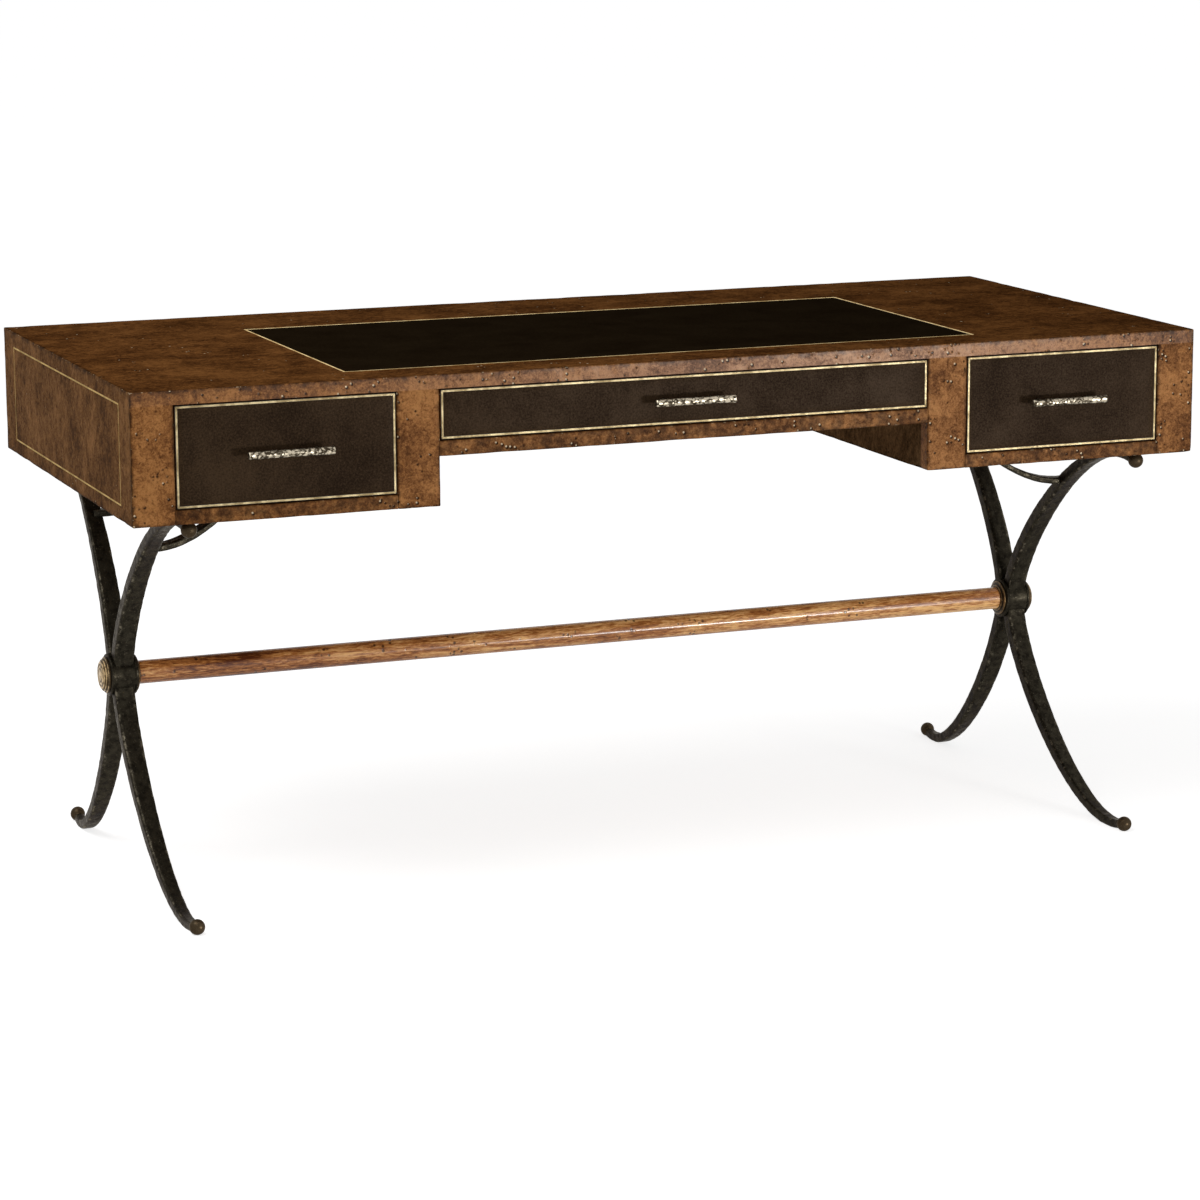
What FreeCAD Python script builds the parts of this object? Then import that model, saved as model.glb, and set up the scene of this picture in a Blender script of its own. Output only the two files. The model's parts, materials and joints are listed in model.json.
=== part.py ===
import FreeCAD, Part
import math
import os

from FreeCAD import Vector

# A bureau plat: a veneered case with three drawers, carried by two forged iron
# frames and a turned stretcher. Millimetres. +X runs along the desk, +Y to its
# back and +Z up. The origin is on the floor, under the middle of the whole desk.

# Case
desk_length = 1650.0
desk_depth = 744.0
desk_height = 780.0
top_thickness = 20.0
pedestal_height = 187.0
centre_height = 116.0
kneehole_width = 760.0
end_thickness = 20.0
kneehole_side_thickness = 18.0
back_thickness = 18.0
frame_thickness = 22.0
outer_stile_width = 61.0
inner_stile_width = 63.0
pedestal_rail_height = 20.5
centre_rail_height = 22.0
guide_height = 36.0
cut_overrun = 5.0

# Writing surface and the brass lines let into the case
writing_length = 990.0
writing_depth = 496.0
writing_front_margin = 77.0
leather_thickness = 2.0
top_line_width = 4.0
case_line_width = 3.5
case_line_depth = 1.5
case_line_side_margin = 61.0
case_line_top_margin = 2.0
case_line_bottom_margin = 20.5

# Drawers
front_gap = 2.0
front_core_thickness = 18.0
front_line_width = 4.0
drawer_length = 520.0
drawer_side_thickness = 12.0
drawer_back_thickness = 12.0
drawer_bottom_thickness = 6.0
drawer_bottom_lift = 10.0
drawer_side_clearance = 1.0
drawer_top_clearance = 8.0
running_clearance = 0.3
stop_length = 40.0
stop_depth = 18.0
stop_height = 7.0
stop_place_share = 0.25

# Handles
handle_length = 124.0
handle_diameter = 9.6
handle_standoff = 22.0
post_spacing = 84.0
post_diameter = 7.0

# Iron frames: each is a pair of bows, back to back, clasped at the hub
frame_inset = 84.0
hub_setback = 49.0
foot_inset = 30.0
arm_inset = 20.0
bar_width = 31.0
bar_depth = 22.0
bar_tip_width = 14.0
bar_tip_depth = 13.0
bar_chamfer_share = 0.16
ball_diameter = 23.0
ball_flat = 0.4
front_tip_angle = 16.0
back_tip_angle = 24.0
hub_handle_share = 0.30
tip_handle_share = 0.42
bow_steps = 12

# Hubs and stretcher
drum_diameter = 60.0
drum_length = 33.0
flange_diameter = 63.0
flange_thickness = 4.0
stretcher_diameter = 35.5
rod_diameter = 10.0
rod_clearance = 0.2
rod_thread_length = 7.0
collar_diameter = 54.0
collar_thickness = 6.0
collar_step_share = 0.45
collar_mid_share = 0.5
finial_diameter = 54.0
finial_length = 11.0
finial_radius_shares = (1.0, 0.88, 0.78)
finial_length_shares = (0.36, 0.66, 1.0)
finial_dome_share = 0.85

# Scroll brackets between the arms and the underside of the case
bracket_width = 24.0
bracket_drop = 81.0
bracket_reach = 166.0
bracket_angle = 9.0
bracket_lower_shares = ((0.0, 0.0), (0.36, -0.05), (0.64, 0.34), (1.0, 1.0))
bracket_upper_shares = ((0.0, 0.14), (0.32, 0.06), (0.62, 0.44), (0.95, 1.0))

# Screws that hold the arms to the case
screw_diameter = 5.0
screw_head_diameter = 9.0
screw_head_height = 3.0
screw_grip = 7.0
screw_bite = 14.0
screw_clearance = 0.2

# Places worked out from the sizes above
handle_reach = handle_standoff + handle_diameter / 2
mid_y = handle_reach / 2
front_y = mid_y - desk_depth / 2
back_y = mid_y + desk_depth / 2
frame_back_y = front_y + frame_thickness
panel_front_y = back_y - back_thickness
half_length = desk_length / 2
half_kneehole = kneehole_width / 2
end_inner_x = half_length - end_thickness
side_outer_x = half_kneehole + kneehole_side_thickness
opening_outer_x = half_length - outer_stile_width
opening_inner_x = half_kneehole + inner_stile_width
case_top_z = desk_height - top_thickness
case_bottom_z = desk_height - pedestal_height
centre_bottom_z = desk_height - centre_height
pedestal_floor_z = case_bottom_z + pedestal_rail_height
centre_floor_z = centre_bottom_z + centre_rail_height
front_core_back_y = front_y + leather_thickness + front_core_thickness
hub_y = mid_y + hub_setback
hub_z = case_bottom_z / 2
frame_x = half_length - frame_inset
flange_face_x = drum_length / 2 + flange_thickness

SIDES = (("left", -1), ("right", 1))
FACINGS = (("front", -1), ("back", 1))
X_AXIS = Vector(1, 0, 0)
Y_AXIS = Vector(0, 1, 0)
Z_AXIS = Vector(0, 0, 1)


def block(x_ends, y_ends, z_ends):
    """A box between two places on each axis, given in either order."""
    low = Vector(min(x_ends), min(y_ends), min(z_ends))
    high = Vector(max(x_ends), max(y_ends), max(z_ends))
    size = high - low
    return Part.makeBox(size.x, size.y, size.z, low)


def rod_along_x(diameter, x_ends, y, z):
    length = max(x_ends) - min(x_ends)
    return Part.makeCylinder(diameter / 2, length, Vector(min(x_ends), y, z), X_AXIS)


def save(name, *solids):
    shape = solids[0] if len(solids) == 1 else Part.makeCompound(list(solids))
    shape.exportStep("parts/%s.step" % name)


# The case


def top_line_box(inset, z_ends):
    half = writing_length / 2 - inset
    low_y = front_y + writing_front_margin + inset
    high_y = front_y + writing_front_margin + writing_depth - inset
    return block((-half, half), (low_y, high_y), z_ends)


def build_top():
    skin = (desk_height - leather_thickness, desk_height)
    recess = top_line_box(0, (skin[0], desk_height + cut_overrun))
    slab = block((-half_length, half_length), (front_y, back_y), (case_top_z, desk_height))
    save("desk_top", slab.cut(recess))
    save("top_leather", top_line_box(top_line_width, skin))
    hole = (skin[0] - cut_overrun, skin[1] + cut_overrun)
    save("top_inlay", top_line_box(0, skin).cut(top_line_box(top_line_width, hole)))


def case_line(axis, face, inward, along_ends, z_ends):
    """A rectangular brass line let into a panel's outer face."""
    depth_ends = (face, face + inward * case_line_depth)
    hole_ends = (face - inward * cut_overrun, face + inward * (case_line_depth + cut_overrun))
    inner_along = (min(along_ends) + case_line_width, max(along_ends) - case_line_width)
    inner_z = (min(z_ends) + case_line_width, max(z_ends) - case_line_width)
    if axis == "x":
        return block(depth_ends, along_ends, z_ends).cut(block(hole_ends, inner_along, inner_z))
    return block(along_ends, depth_ends, z_ends).cut(block(inner_along, hole_ends, inner_z))


def line_heights(bottom_z):
    return (bottom_z + case_line_bottom_margin, case_top_z - case_line_top_margin)


def build_ends_and_backs():
    lines = []
    heights = line_heights(case_bottom_z)
    for name, side in SIDES:
        along = (front_y + case_line_side_margin, back_y - case_line_side_margin)
        end_line = case_line("x", side * half_length, -side, along, heights)
        end = block((side * half_length, side * end_inner_x), (frame_back_y, back_y),
                    (case_bottom_z, case_top_z))
        save("end_panel_" + name, end.cut(end_line))

        along = (side * opening_outer_x, side * opening_inner_x)
        back_line = case_line("y", back_y, -1, along, heights)
        back = block((side * end_inner_x, side * half_kneehole), (panel_front_y, back_y),
                     (case_bottom_z, case_top_z))
        save("back_panel_" + name, back.cut(back_line))
        lines += [end_line, back_line]

    along = (-half_kneehole + case_line_bottom_margin, half_kneehole - case_line_bottom_margin)
    centre_line = case_line("y", back_y, -1, along, line_heights(centre_bottom_z))
    centre = block((-half_kneehole, half_kneehole), (panel_front_y, back_y), (centre_bottom_z, case_top_z))
    save("back_panel_centre", centre.cut(centre_line))
    save("case_inlays", centre_line, *lines)


def build_front_frame():
    frame_ends = (front_y, frame_back_y)
    for name, side in SIDES:
        heights = (case_bottom_z, case_top_z)
        save("outer_stile_" + name,
             block((side * half_length, side * opening_outer_x), frame_ends, heights))
        save("inner_stile_" + name,
             block((side * half_kneehole, side * opening_inner_x), frame_ends, heights))
        save("front_rail_" + name,
             block((side * opening_outer_x, side * opening_inner_x), frame_ends,
                   (case_bottom_z, pedestal_floor_z)))
    save("front_rail_centre",
         block((-half_kneehole, half_kneehole), frame_ends, (centre_bottom_z, centre_floor_z)))


def screw_hole(x, y):
    low_z = case_bottom_z - screw_grip - cut_overrun
    return Part.makeCylinder(screw_diameter / 2 + screw_clearance, case_bottom_z + screw_bite - low_z,
                             Vector(x, y, low_z), Z_AXIS)


def build_inner_boards():
    inner_ends = (frame_back_y, panel_front_y)
    guides = []
    for name, side in SIDES:
        save("kneehole_side_" + name,
             block((side * half_kneehole, side * side_outer_x), inner_ends, (case_bottom_z, case_top_z)))
        floor = block((side * end_inner_x, side * side_outer_x), inner_ends,
                      (case_bottom_z, pedestal_floor_z))
        for _, facing in FACINGS:
            floor = floor.cut(screw_hole(side * frame_x, arm_crest(facing).y))
        save("pedestal_floor_" + name, floor)
        heights = (pedestal_floor_z, pedestal_floor_z + guide_height)
        guides.append(block((side * end_inner_x, side * opening_outer_x), inner_ends, heights))
        guides.append(block((side * side_outer_x, side * opening_inner_x), inner_ends, heights))
    save("centre_floor",
         block((-half_kneehole, half_kneehole), inner_ends, (centre_bottom_z, centre_floor_z)))
    save("drawer_guides", *guides)


# The drawers. Each opening is given by its two X ends and its floor.


def drawer_openings():
    for name, side in SIDES:
        x_ends = (side * opening_outer_x, side * opening_inner_x)
        yield name, min(x_ends), max(x_ends), pedestal_floor_z
    yield "centre", -half_kneehole, half_kneehole, centre_floor_z


def build_drawer_front(name, low_x, high_x, floor_z):
    core_front_y = front_y + leather_thickness

    def layer(inset, y_ends):
        margin = front_gap + inset
        return block((low_x + margin, high_x - margin), y_ends,
                     (floor_z + margin, case_top_z - margin))

    skin = (front_y, core_front_y)
    hole = (front_y - cut_overrun, core_front_y + cut_overrun)
    save("drawer_front_" + name, layer(0, (core_front_y, front_core_back_y)))
    save("drawer_leather_" + name, layer(front_line_width, skin))
    save("drawer_line_" + name, layer(0, skin).cut(layer(front_line_width, hole)))


def build_drawer_box(name, low_x, high_x, floor_z):
    outer = (low_x + drawer_side_clearance, high_x - drawer_side_clearance)
    inner = (outer[0] + drawer_side_thickness, outer[1] - drawer_side_thickness)
    box_end_y = front_core_back_y + drawer_length
    back_start_y = box_end_y - drawer_back_thickness
    low_z = floor_z + running_clearance
    high_z = case_top_z - drawer_top_clearance
    bottom_z = low_z + drawer_bottom_lift
    run = (front_core_back_y, box_end_y)
    sides = [block((outer[i], inner[i]), run, (low_z, high_z)) for i in range(2)]
    save("drawer_sides_" + name, *sides)
    save("drawer_back_" + name, block(inner, (back_start_y, box_end_y), (bottom_z, high_z)))
    save("drawer_bottom_" + name,
         block(inner, (front_core_back_y, back_start_y), (bottom_z, bottom_z + drawer_bottom_thickness)))


def build_handle(name, low_x, high_x, floor_z):
    x = (low_x + high_x) / 2
    z = (floor_z + case_top_z) / 2
    bar_y = front_y - handle_standoff
    handle = rod_along_x(handle_diameter, (x - handle_length / 2, x + handle_length / 2), bar_y, z)
    for _, side in SIDES:
        foot = Vector(x + side * post_spacing / 2, bar_y, z)
        handle = handle.fuse(Part.makeCylinder(post_diameter / 2, handle_standoff, foot, Y_AXIS))
    save("handle_" + name, handle.removeSplitter())


def build_drawers():
    stops = []
    for name, low_x, high_x, floor_z in drawer_openings():
        build_drawer_front(name, low_x, high_x, floor_z)
        build_drawer_box(name, low_x, high_x, floor_z)
        build_handle(name, low_x, high_x, floor_z)
        for place in (stop_place_share, 1 - stop_place_share):
            x = low_x + (high_x - low_x) * place
            stops.append(block((x - stop_length / 2, x + stop_length / 2),
                               (front_core_back_y, front_core_back_y + stop_depth),
                               (floor_z, floor_z + stop_height)))
    save("drawer_stops", *stops)


# The iron frames


def half_bow(facing, rising):
    """Centre line from the hub to one ball, in the plane of the frame."""
    hub = Vector(0, hub_y + facing * bar_depth / 2, hub_z)
    tip_height = ball_diameter / 2 - ball_flat
    inset = arm_inset if rising > 0 else foot_inset
    tip_z = case_bottom_z - tip_height if rising > 0 else tip_height
    tip = Vector(0, mid_y + facing * (desk_depth / 2 - inset), tip_z)
    angle = math.radians(front_tip_angle if facing < 0 else back_tip_angle)
    heading = Vector(0, facing * math.cos(angle), -rising * math.sin(angle))
    hub_handle = Vector(0, 0, rising * abs(tip.z - hub.z) * hub_handle_share)
    tip_handle = heading * abs(tip.y - hub.y) * tip_handle_share
    curve = Part.BezierCurve()
    curve.setPoles([hub, hub + hub_handle, tip - tip_handle, tip])
    return curve


def arm_points(facing):
    arm = half_bow(facing, 1)
    count = bow_steps * bow_steps
    return [arm.value(i / count) for i in range(count + 1)]


def arm_crest(facing):
    """Where an arm's centre line comes nearest to the underside of the case."""
    return max(arm_points(facing), key=lambda point: point.z)


def bar_section(curve, share, heading):
    """The bar's cross section, a rectangle with chamfered corners."""
    taper = share * share
    half_width = (bar_width + (bar_tip_width - bar_width) * taper) / 2
    half_depth = (bar_depth + (bar_tip_depth - bar_depth) * taper) / 2
    chamfer = bar_chamfer_share * 2 * half_depth
    along = curve.tangent(share)[0] * heading
    normal = Vector(0, -along.z, along.y)
    corners = []
    for sx, sn in ((1, 1), (-1, 1), (-1, -1), (1, -1)):
        long_side = (sx * half_width, sn * (half_depth - chamfer))
        short_side = (sx * (half_width - chamfer), sn * half_depth)
        corners += [long_side, short_side] if sx == sn else [short_side, long_side]
    centre = curve.value(share)
    points = [centre + X_AXIS * across + normal * deep for across, deep in corners]
    return Part.makePolygon(points + points[:1])


def bow(facing):
    """One forged bow from its foot ball up past the hub to its arm ball, at X = 0."""
    leg = half_bow(facing, -1)
    arm = half_bow(facing, 1)
    shares = [i / bow_steps for i in range(bow_steps + 1)]
    sections = [bar_section(leg, share, -1) for share in reversed(shares)]
    sections += [bar_section(arm, share, 1) for share in shares[1:]]
    solid = Part.makeLoft(sections, True, True)
    balls = [Part.makeSphere(ball_diameter / 2, curve.value(1)) for curve in (leg, arm)]
    solid = solid.fuse(balls)
    room = block((-bar_width, bar_width), (front_y - ball_diameter, back_y + ball_diameter),
                 (0, case_bottom_z))
    solid = solid.common(room)
    rod_hole = rod_along_x(rod_diameter + 2 * rod_clearance, (-bar_width, bar_width), hub_y, hub_z)
    crest = arm_crest(facing)
    seat_depth = bar_depth + cut_overrun
    seat = Part.makeCylinder(screw_head_diameter / 2 + screw_clearance, seat_depth,
                             Vector(0, crest.y, case_bottom_z - screw_grip - seat_depth), Z_AXIS)
    return solid.cut([rod_hole, screw_hole(0, crest.y), seat])


def screw(facing):
    y = arm_crest(facing).y
    seat_z = case_bottom_z - screw_grip
    head = Part.makeCylinder(screw_head_diameter / 2, screw_head_height,
                             Vector(0, y, seat_z - screw_head_height), Z_AXIS)
    shank = Part.makeCylinder(screw_diameter / 2, screw_grip + screw_bite - screw_clearance,
                              Vector(0, y, seat_z), Z_AXIS)
    return head.fuse(shank).removeSplitter()


def clasp(bows):
    """The iron drum round the two bows, with a flange at each end, at X = 0."""
    drum = rod_along_x(drum_diameter, (-drum_length / 2, drum_length / 2), hub_y, hub_z)
    for _, side in SIDES:
        drum = drum.fuse(rod_along_x(flange_diameter, (side * drum_length / 2, side * flange_face_x),
                                     hub_y, hub_z))
    window = block((-bar_width / 2, bar_width / 2), (hub_y - bar_depth, hub_y + bar_depth),
                   (hub_z - flange_diameter, hub_z + flange_diameter))
    rod_hole = rod_along_x(rod_diameter + 2 * rod_clearance,
                           (-flange_face_x - cut_overrun, flange_face_x + cut_overrun), hub_y, hub_z)
    return drum.removeSplitter().cut([window, rod_hole] + bows)


def stepped_boss(radii, lengths, start_x, outward):
    """Discs of falling radius, stacked outward along X from start_x."""
    boss = None
    last = 0
    for radius, reach in zip(radii, lengths):
        ends = (start_x + outward * last, start_x + outward * reach)
        disc = rod_along_x(2 * radius, ends, hub_y, hub_z)
        boss = disc if boss is None else boss.fuse(disc)
        last = reach
    return boss.removeSplitter()


def finial(side):
    face_x = side * (frame_x + flange_face_x)
    radii = [share * finial_diameter / 2 for share in finial_radius_shares]
    lengths = [share * finial_length for share in finial_length_shares]
    boss = stepped_boss(radii, lengths, face_x, side)
    ease = (lengths[2] - lengths[1]) * finial_dome_share
    rim = max(boss.Edges, key=lambda edge: side * edge.CenterOfMass.x)
    boss = boss.makeFillet(ease, [rim])
    thread = rod_along_x(rod_diameter + 2 * rod_clearance,
                         (face_x - side * cut_overrun, face_x + side * rod_thread_length), hub_y, hub_z)
    return boss.cut(thread)


def stretcher_collar(side):
    face_x = side * (frame_x - flange_face_x)
    outer = collar_diameter / 2
    inner = stretcher_diameter / 2
    step = inner + (outer - inner) * collar_step_share
    lengths = (collar_thickness * collar_mid_share, collar_thickness)
    ring = stepped_boss((outer, step), lengths, face_x, -side)
    bore_ends = (face_x + side * cut_overrun, face_x - side * (collar_thickness + cut_overrun))
    return ring.cut(rod_along_x(stretcher_diameter, bore_ends, hub_y, hub_z))


def bracket(facing, side):
    """A strap that springs from an arm, towards the middle of the case, and curls up to its underside."""
    start_z = case_bottom_z - bracket_drop
    root = min(arm_points(facing), key=lambda point: abs(point.z - start_z))
    angle = math.radians(bracket_angle)
    inward = Vector(-side * math.cos(angle), -facing * math.sin(angle), 0)
    across = Z_AXIS.cross(inward)
    start = Vector(side * frame_x, root.y, start_z) - across * (bracket_width / 2)

    def pole(shares):
        return start + inward * (bracket_reach * shares[0]) + Z_AXIS * (bracket_drop * shares[1])

    lower = Part.BezierCurve()
    lower.setPoles([pole(shares) for shares in bracket_lower_shares])
    upper = Part.BezierCurve()
    upper.setPoles([pole(shares) for shares in bracket_upper_shares])
    land = Part.makeLine(lower.value(1), upper.value(1))
    foot = Part.makeLine(upper.value(0), lower.value(0))
    outline = Part.Wire(Part.__sortEdges__([lower.toShape(), land, upper.toShape(), foot]))
    return Part.Face(outline).extrude(across * bracket_width)


def build_frames():
    bows = {facing: bow(facing) for _, facing in FACINGS}
    screws = []
    for name, side in SIDES:
        place = X_AXIS * side * frame_x
        brackets = []
        for facing_name, facing in FACINGS:
            placed = bows[facing].translated(place)
            save("bow_%s_%s" % (facing_name, name), placed)
            brackets.append(bracket(facing, side).cut(placed))
            screws.append(screw(facing).translated(place))
        save("scroll_brackets_" + name, *brackets)
        save("hub_clasp_" + name, clasp(list(bows.values())).translated(place))
        save("finial_" + name, finial(side))
        save("stretcher_collar_" + name, stretcher_collar(side))
    save("arm_screws", *screws)


def build_stretcher():
    end_x = frame_x - flange_face_x
    bar = rod_along_x(stretcher_diameter, (-end_x, end_x), hub_y, hub_z)
    bore = rod_along_x(rod_diameter + 2 * rod_clearance, (-end_x - cut_overrun, end_x + cut_overrun),
                       hub_y, hub_z)
    save("stretcher", bar.cut(bore))
    rod_end_x = frame_x + flange_face_x + rod_thread_length - rod_clearance
    save("tie_rod", rod_along_x(rod_diameter, (-rod_end_x, rod_end_x), hub_y, hub_z))


os.makedirs("parts", exist_ok=True)
build_top()
build_ends_and_backs()
build_front_frame()
build_inner_boards()
build_drawers()
build_frames()
build_stretcher()
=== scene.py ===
import json
import math
from collections import namedtuple
from functools import reduce

import bmesh
import bpy
from bpy.props import FloatProperty, FloatVectorProperty, IntProperty, PointerProperty
from mathutils import Matrix, Vector, noise

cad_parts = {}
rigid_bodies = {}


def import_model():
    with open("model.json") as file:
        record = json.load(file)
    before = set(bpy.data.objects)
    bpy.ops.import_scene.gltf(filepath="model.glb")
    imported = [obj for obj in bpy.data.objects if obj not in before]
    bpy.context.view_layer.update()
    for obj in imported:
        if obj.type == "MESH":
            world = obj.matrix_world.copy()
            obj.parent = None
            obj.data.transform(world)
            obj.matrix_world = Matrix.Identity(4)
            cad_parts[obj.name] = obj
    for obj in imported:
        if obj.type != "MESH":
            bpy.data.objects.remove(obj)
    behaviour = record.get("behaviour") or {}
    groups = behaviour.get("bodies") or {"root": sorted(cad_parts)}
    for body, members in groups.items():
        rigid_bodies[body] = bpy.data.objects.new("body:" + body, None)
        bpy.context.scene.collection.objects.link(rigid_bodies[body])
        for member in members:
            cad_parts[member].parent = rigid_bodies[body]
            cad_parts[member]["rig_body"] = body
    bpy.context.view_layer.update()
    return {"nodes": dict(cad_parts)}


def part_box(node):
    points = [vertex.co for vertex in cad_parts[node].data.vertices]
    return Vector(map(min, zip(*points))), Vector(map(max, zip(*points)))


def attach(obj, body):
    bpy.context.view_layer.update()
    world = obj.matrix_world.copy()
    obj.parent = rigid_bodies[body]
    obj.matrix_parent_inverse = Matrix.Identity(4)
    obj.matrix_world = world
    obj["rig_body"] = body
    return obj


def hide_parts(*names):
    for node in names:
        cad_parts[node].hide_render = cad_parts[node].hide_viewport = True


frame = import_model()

# A veneered writing desk with leather drawer fronts on hammered iron frames.
# Metres. +X runs along the desk, +Y to its back and +Z up, with the floor at Z = 0.

bl_info = {
    "name": "Iron-legged writing desk",
    "version": (1, 0, 0),
    "blender": (4, 5, 0),
    "location": "View3D > Sidebar > Desk",
    "description": "Dresses a writing desk: worn burl veneer, leather, brass lines and hammered iron",
    "category": "Object",
}

SIDES = (("left", -1), ("right", 1))
FACINGS = (("front", -1), ("back", 1))
DRAWERS = ("left", "centre", "right")
AXES = {"x": Vector((1, 0, 0)), "y": Vector((0, 1, 0)), "z": Vector((0, 0, 1))}
MM = 0.001


def paint(red, green, blue):
    """A linear colour from the 0 to 255 values that a screen shows."""
    def linear(value):
        share = value / 255
        return share / 12.92 if share <= 0.04045 else ((share + 0.055) / 1.055) ** 2.4
    return (linear(red), linear(green), linear(blue))


def length(name, description, default):
    return FloatProperty(name=name, description=description, default=default, unit="LENGTH", precision=5)


def colour(name, description, default):
    return FloatVectorProperty(name=name, description=description, default=default, size=3, min=0, max=1,
                               subtype="COLOR")


def share(name, description, default):
    return FloatProperty(name=name, description=description, default=default, min=0, max=1,
                         subtype="FACTOR")


def angle(name, description, default):
    return FloatProperty(name=name, description=description, default=math.radians(default), subtype="ANGLE")


def amount(name, description, default):
    return FloatProperty(name=name, description=description, default=default)


def count(name, description, default, least):
    return IntProperty(name=name, description=description, default=default, min=least)


def spot(name, description, default):
    return FloatVectorProperty(name=name, description=description, default=default, unit="LENGTH",
                               subtype="TRANSLATION")


# Sizes and colours that a user would change


class DeskCaseSettings(bpy.types.PropertyGroup):
    arris_rounding: length("Arris rounding", "Radius of the case's worn outer edges", 1.6 * MM)
    wear_reach: length("Wear reach", "How far the rubbed tone runs in from an edge", 9 * MM)
    wear_depth: length("Wear depth", "Deepest dent along an edge", 0.9 * MM)
    grid_step: length("Grid step", "Spacing of the mesh along a board", 14 * MM)
    inner_rounding: length("Inner rounding", "Radius of the drawers' own edges", 0.8 * MM)
    drawer_side: length("Drawer side", "Thickness of a drawer's sides", 12 * MM)
    front_dark: colour("Front, dark", "Darkest tone of the burl on the front", paint(76, 44, 19))
    front_mid: colour("Front, middle", "Middle tone of the burl on the front", paint(128, 83, 44))
    front_light: colour("Front, light", "Lightest tone of the burl on the front", paint(162, 112, 64))
    # Painted shade: the end tones, used on the ends and the back, are darker than the front's for the less
    # light those faces get.
    end_dark: colour("End, dark", "Darkest tone of the ends", paint(60, 36, 16))
    end_mid: colour("End, middle", "Middle tone of the ends", paint(106, 71, 38))
    end_light: colour("End, light", "Lightest tone of the ends", paint(138, 96, 55))
    # Painted shade: the kneehole tones are darker and greyer than the front's for the shade inside the
    # kneehole.
    inside_dark: colour("Kneehole, dark", "Darkest tone of the kneehole's sides", paint(62, 45, 28))
    inside_mid: colour("Kneehole, middle", "Middle tone of the kneehole's sides", paint(102, 77, 51))
    inside_light: colour("Kneehole, light", "Lightest tone of the kneehole's sides", paint(132, 102, 70))
    # Painted shade: the top tones are much darker than the front's for the less light that falls on the top.
    top_dark: colour("Top, dark", "Darkest tone of the top", paint(52, 29, 12))
    top_mid: colour("Top, middle", "Middle tone of the top", paint(86, 53, 25))
    top_light: colour("Top, light", "Lightest tone of the top", paint(114, 74, 38))
    wood: colour("Plain wood", "Wood of the drawer boxes and floors", paint(150, 112, 72))
    wood_dark: colour("Plain wood, dark", "Darker streaks of the plain wood", paint(112, 80, 48))


class DeskLeatherSettings(bpy.types.PropertyGroup):
    drop: length("Drop", "How far the hide lies below the brass round it", 0.4 * MM)
    edge_rounding: length("Edge rounding", "Rounding of the hide's turned edge", 0.7 * MM)
    ripple: length("Ripple", "Unevenness of the hide's face", 0.12 * MM)
    grid_step: length("Grid step", "Spacing of the mesh on the hide", 9 * MM)
    drawer_dark: colour("Drawer hide, dark", "Dark tone of the drawers' hide", paint(29, 19, 10))
    drawer_light: colour("Drawer hide, light", "Light tone of the drawers' hide", paint(62, 47, 32))
    top_dark: colour("Top hide, dark", "Dark tone of the writing hide", paint(20, 13, 6))
    top_light: colour("Top hide, light", "Light tone of the writing hide", paint(32, 24, 14))


class DeskBrassSettings(bpy.types.PropertyGroup):
    strip_ease: length("Strip ease", "Rounding of a brass strip's edges", 0.35 * MM)
    # The dark line is mastic and painted shade: it stands for the shadow line beside each brass strip.
    dark_line: length("Dark line", "Width of the dark mastic on each side of a strip", 0.5 * MM)
    mastic_drop: length("Mastic drop", "How far the mastic lies below the brass", 0.35 * MM)
    front_width: length("Front width", "Width of the brass round the drawers and the top", 4 * MM)
    case_width: length("Case width", "Width of the brass in the ends and back", 3.5 * MM)
    case_depth: length("Case depth", "Depth of the brass in the ends and back", 1.5 * MM)
    sunk: length("Sunk", "How far the brass in the case lies below its face", 0.15 * MM)
    side_margin: length("Side margin", "From the front or back edge to the brass in an end", 61 * MM)
    top_margin: length("Top margin", "From the slab to the brass in the case", 2 * MM)
    bottom_margin: length("Bottom margin", "From the case's lower edge to its brass", 20.5 * MM)
    turning_steps: count("Turning steps", "Faces round a finial, collar or drum", 72, least=8)
    front_bright: colour("Front strip", "Brass lines of the drawers", paint(170, 155, 120))
    front_dull: colour("Front strip, dull", "Dulled stretches on the drawers", paint(114, 99, 70))
    top_bright: colour("Top strip", "Brass line of the writing top", paint(236, 212, 158))
    top_dull: colour("Top strip, dull", "Dulled stretches on the top", paint(186, 156, 102))
    case_bright: colour("Case strip", "Brass lines of the ends and back", paint(200, 170, 112))
    case_dull: colour("Case strip, dull", "Dulled stretches on the ends and back", paint(158, 130, 80))
    finial_bright: colour("Finial", "Bright faces of the finials", paint(186, 159, 117))
    finial_dark: colour("Finial, dark", "Patina in the finials' grooves", paint(62, 48, 30))
    collar_bright: colour("Collar", "Bright faces of the collars", paint(112, 88, 56))
    collar_dark: colour("Collar, dark", "Patina of the collars", paint(44, 33, 20))


class DeskHandleSettings(bpy.types.PropertyGroup):
    dent_size: length("Dent size", "Width of one hammer mark", 8 * MM)
    dent_depth: length("Dent depth", "Depth of the hammer marks", 0.7 * MM)
    swell: length("Swell", "How far the hammered bar spreads past its plain radius", 0.8 * MM)
    flare: length("Flare", "How far the bar's right end spreads further", 0.7 * MM)
    ring_step: length("Ring step", "Mesh spacing along the bar", 1.2 * MM)
    around: count("Around", "Vertices round the bar", 32, least=8)
    post_spacing: length("Post spacing", "Between the two posts", 84 * MM)
    post_diameter: length("Post diameter", "Diameter of a post", 7 * MM)
    metal: colour("Metal", "Bright faces of the handles", paint(190, 179, 158))
    metal_dark: colour("Metal, dark", "Tarnish between the faces", paint(54, 46, 35))


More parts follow.
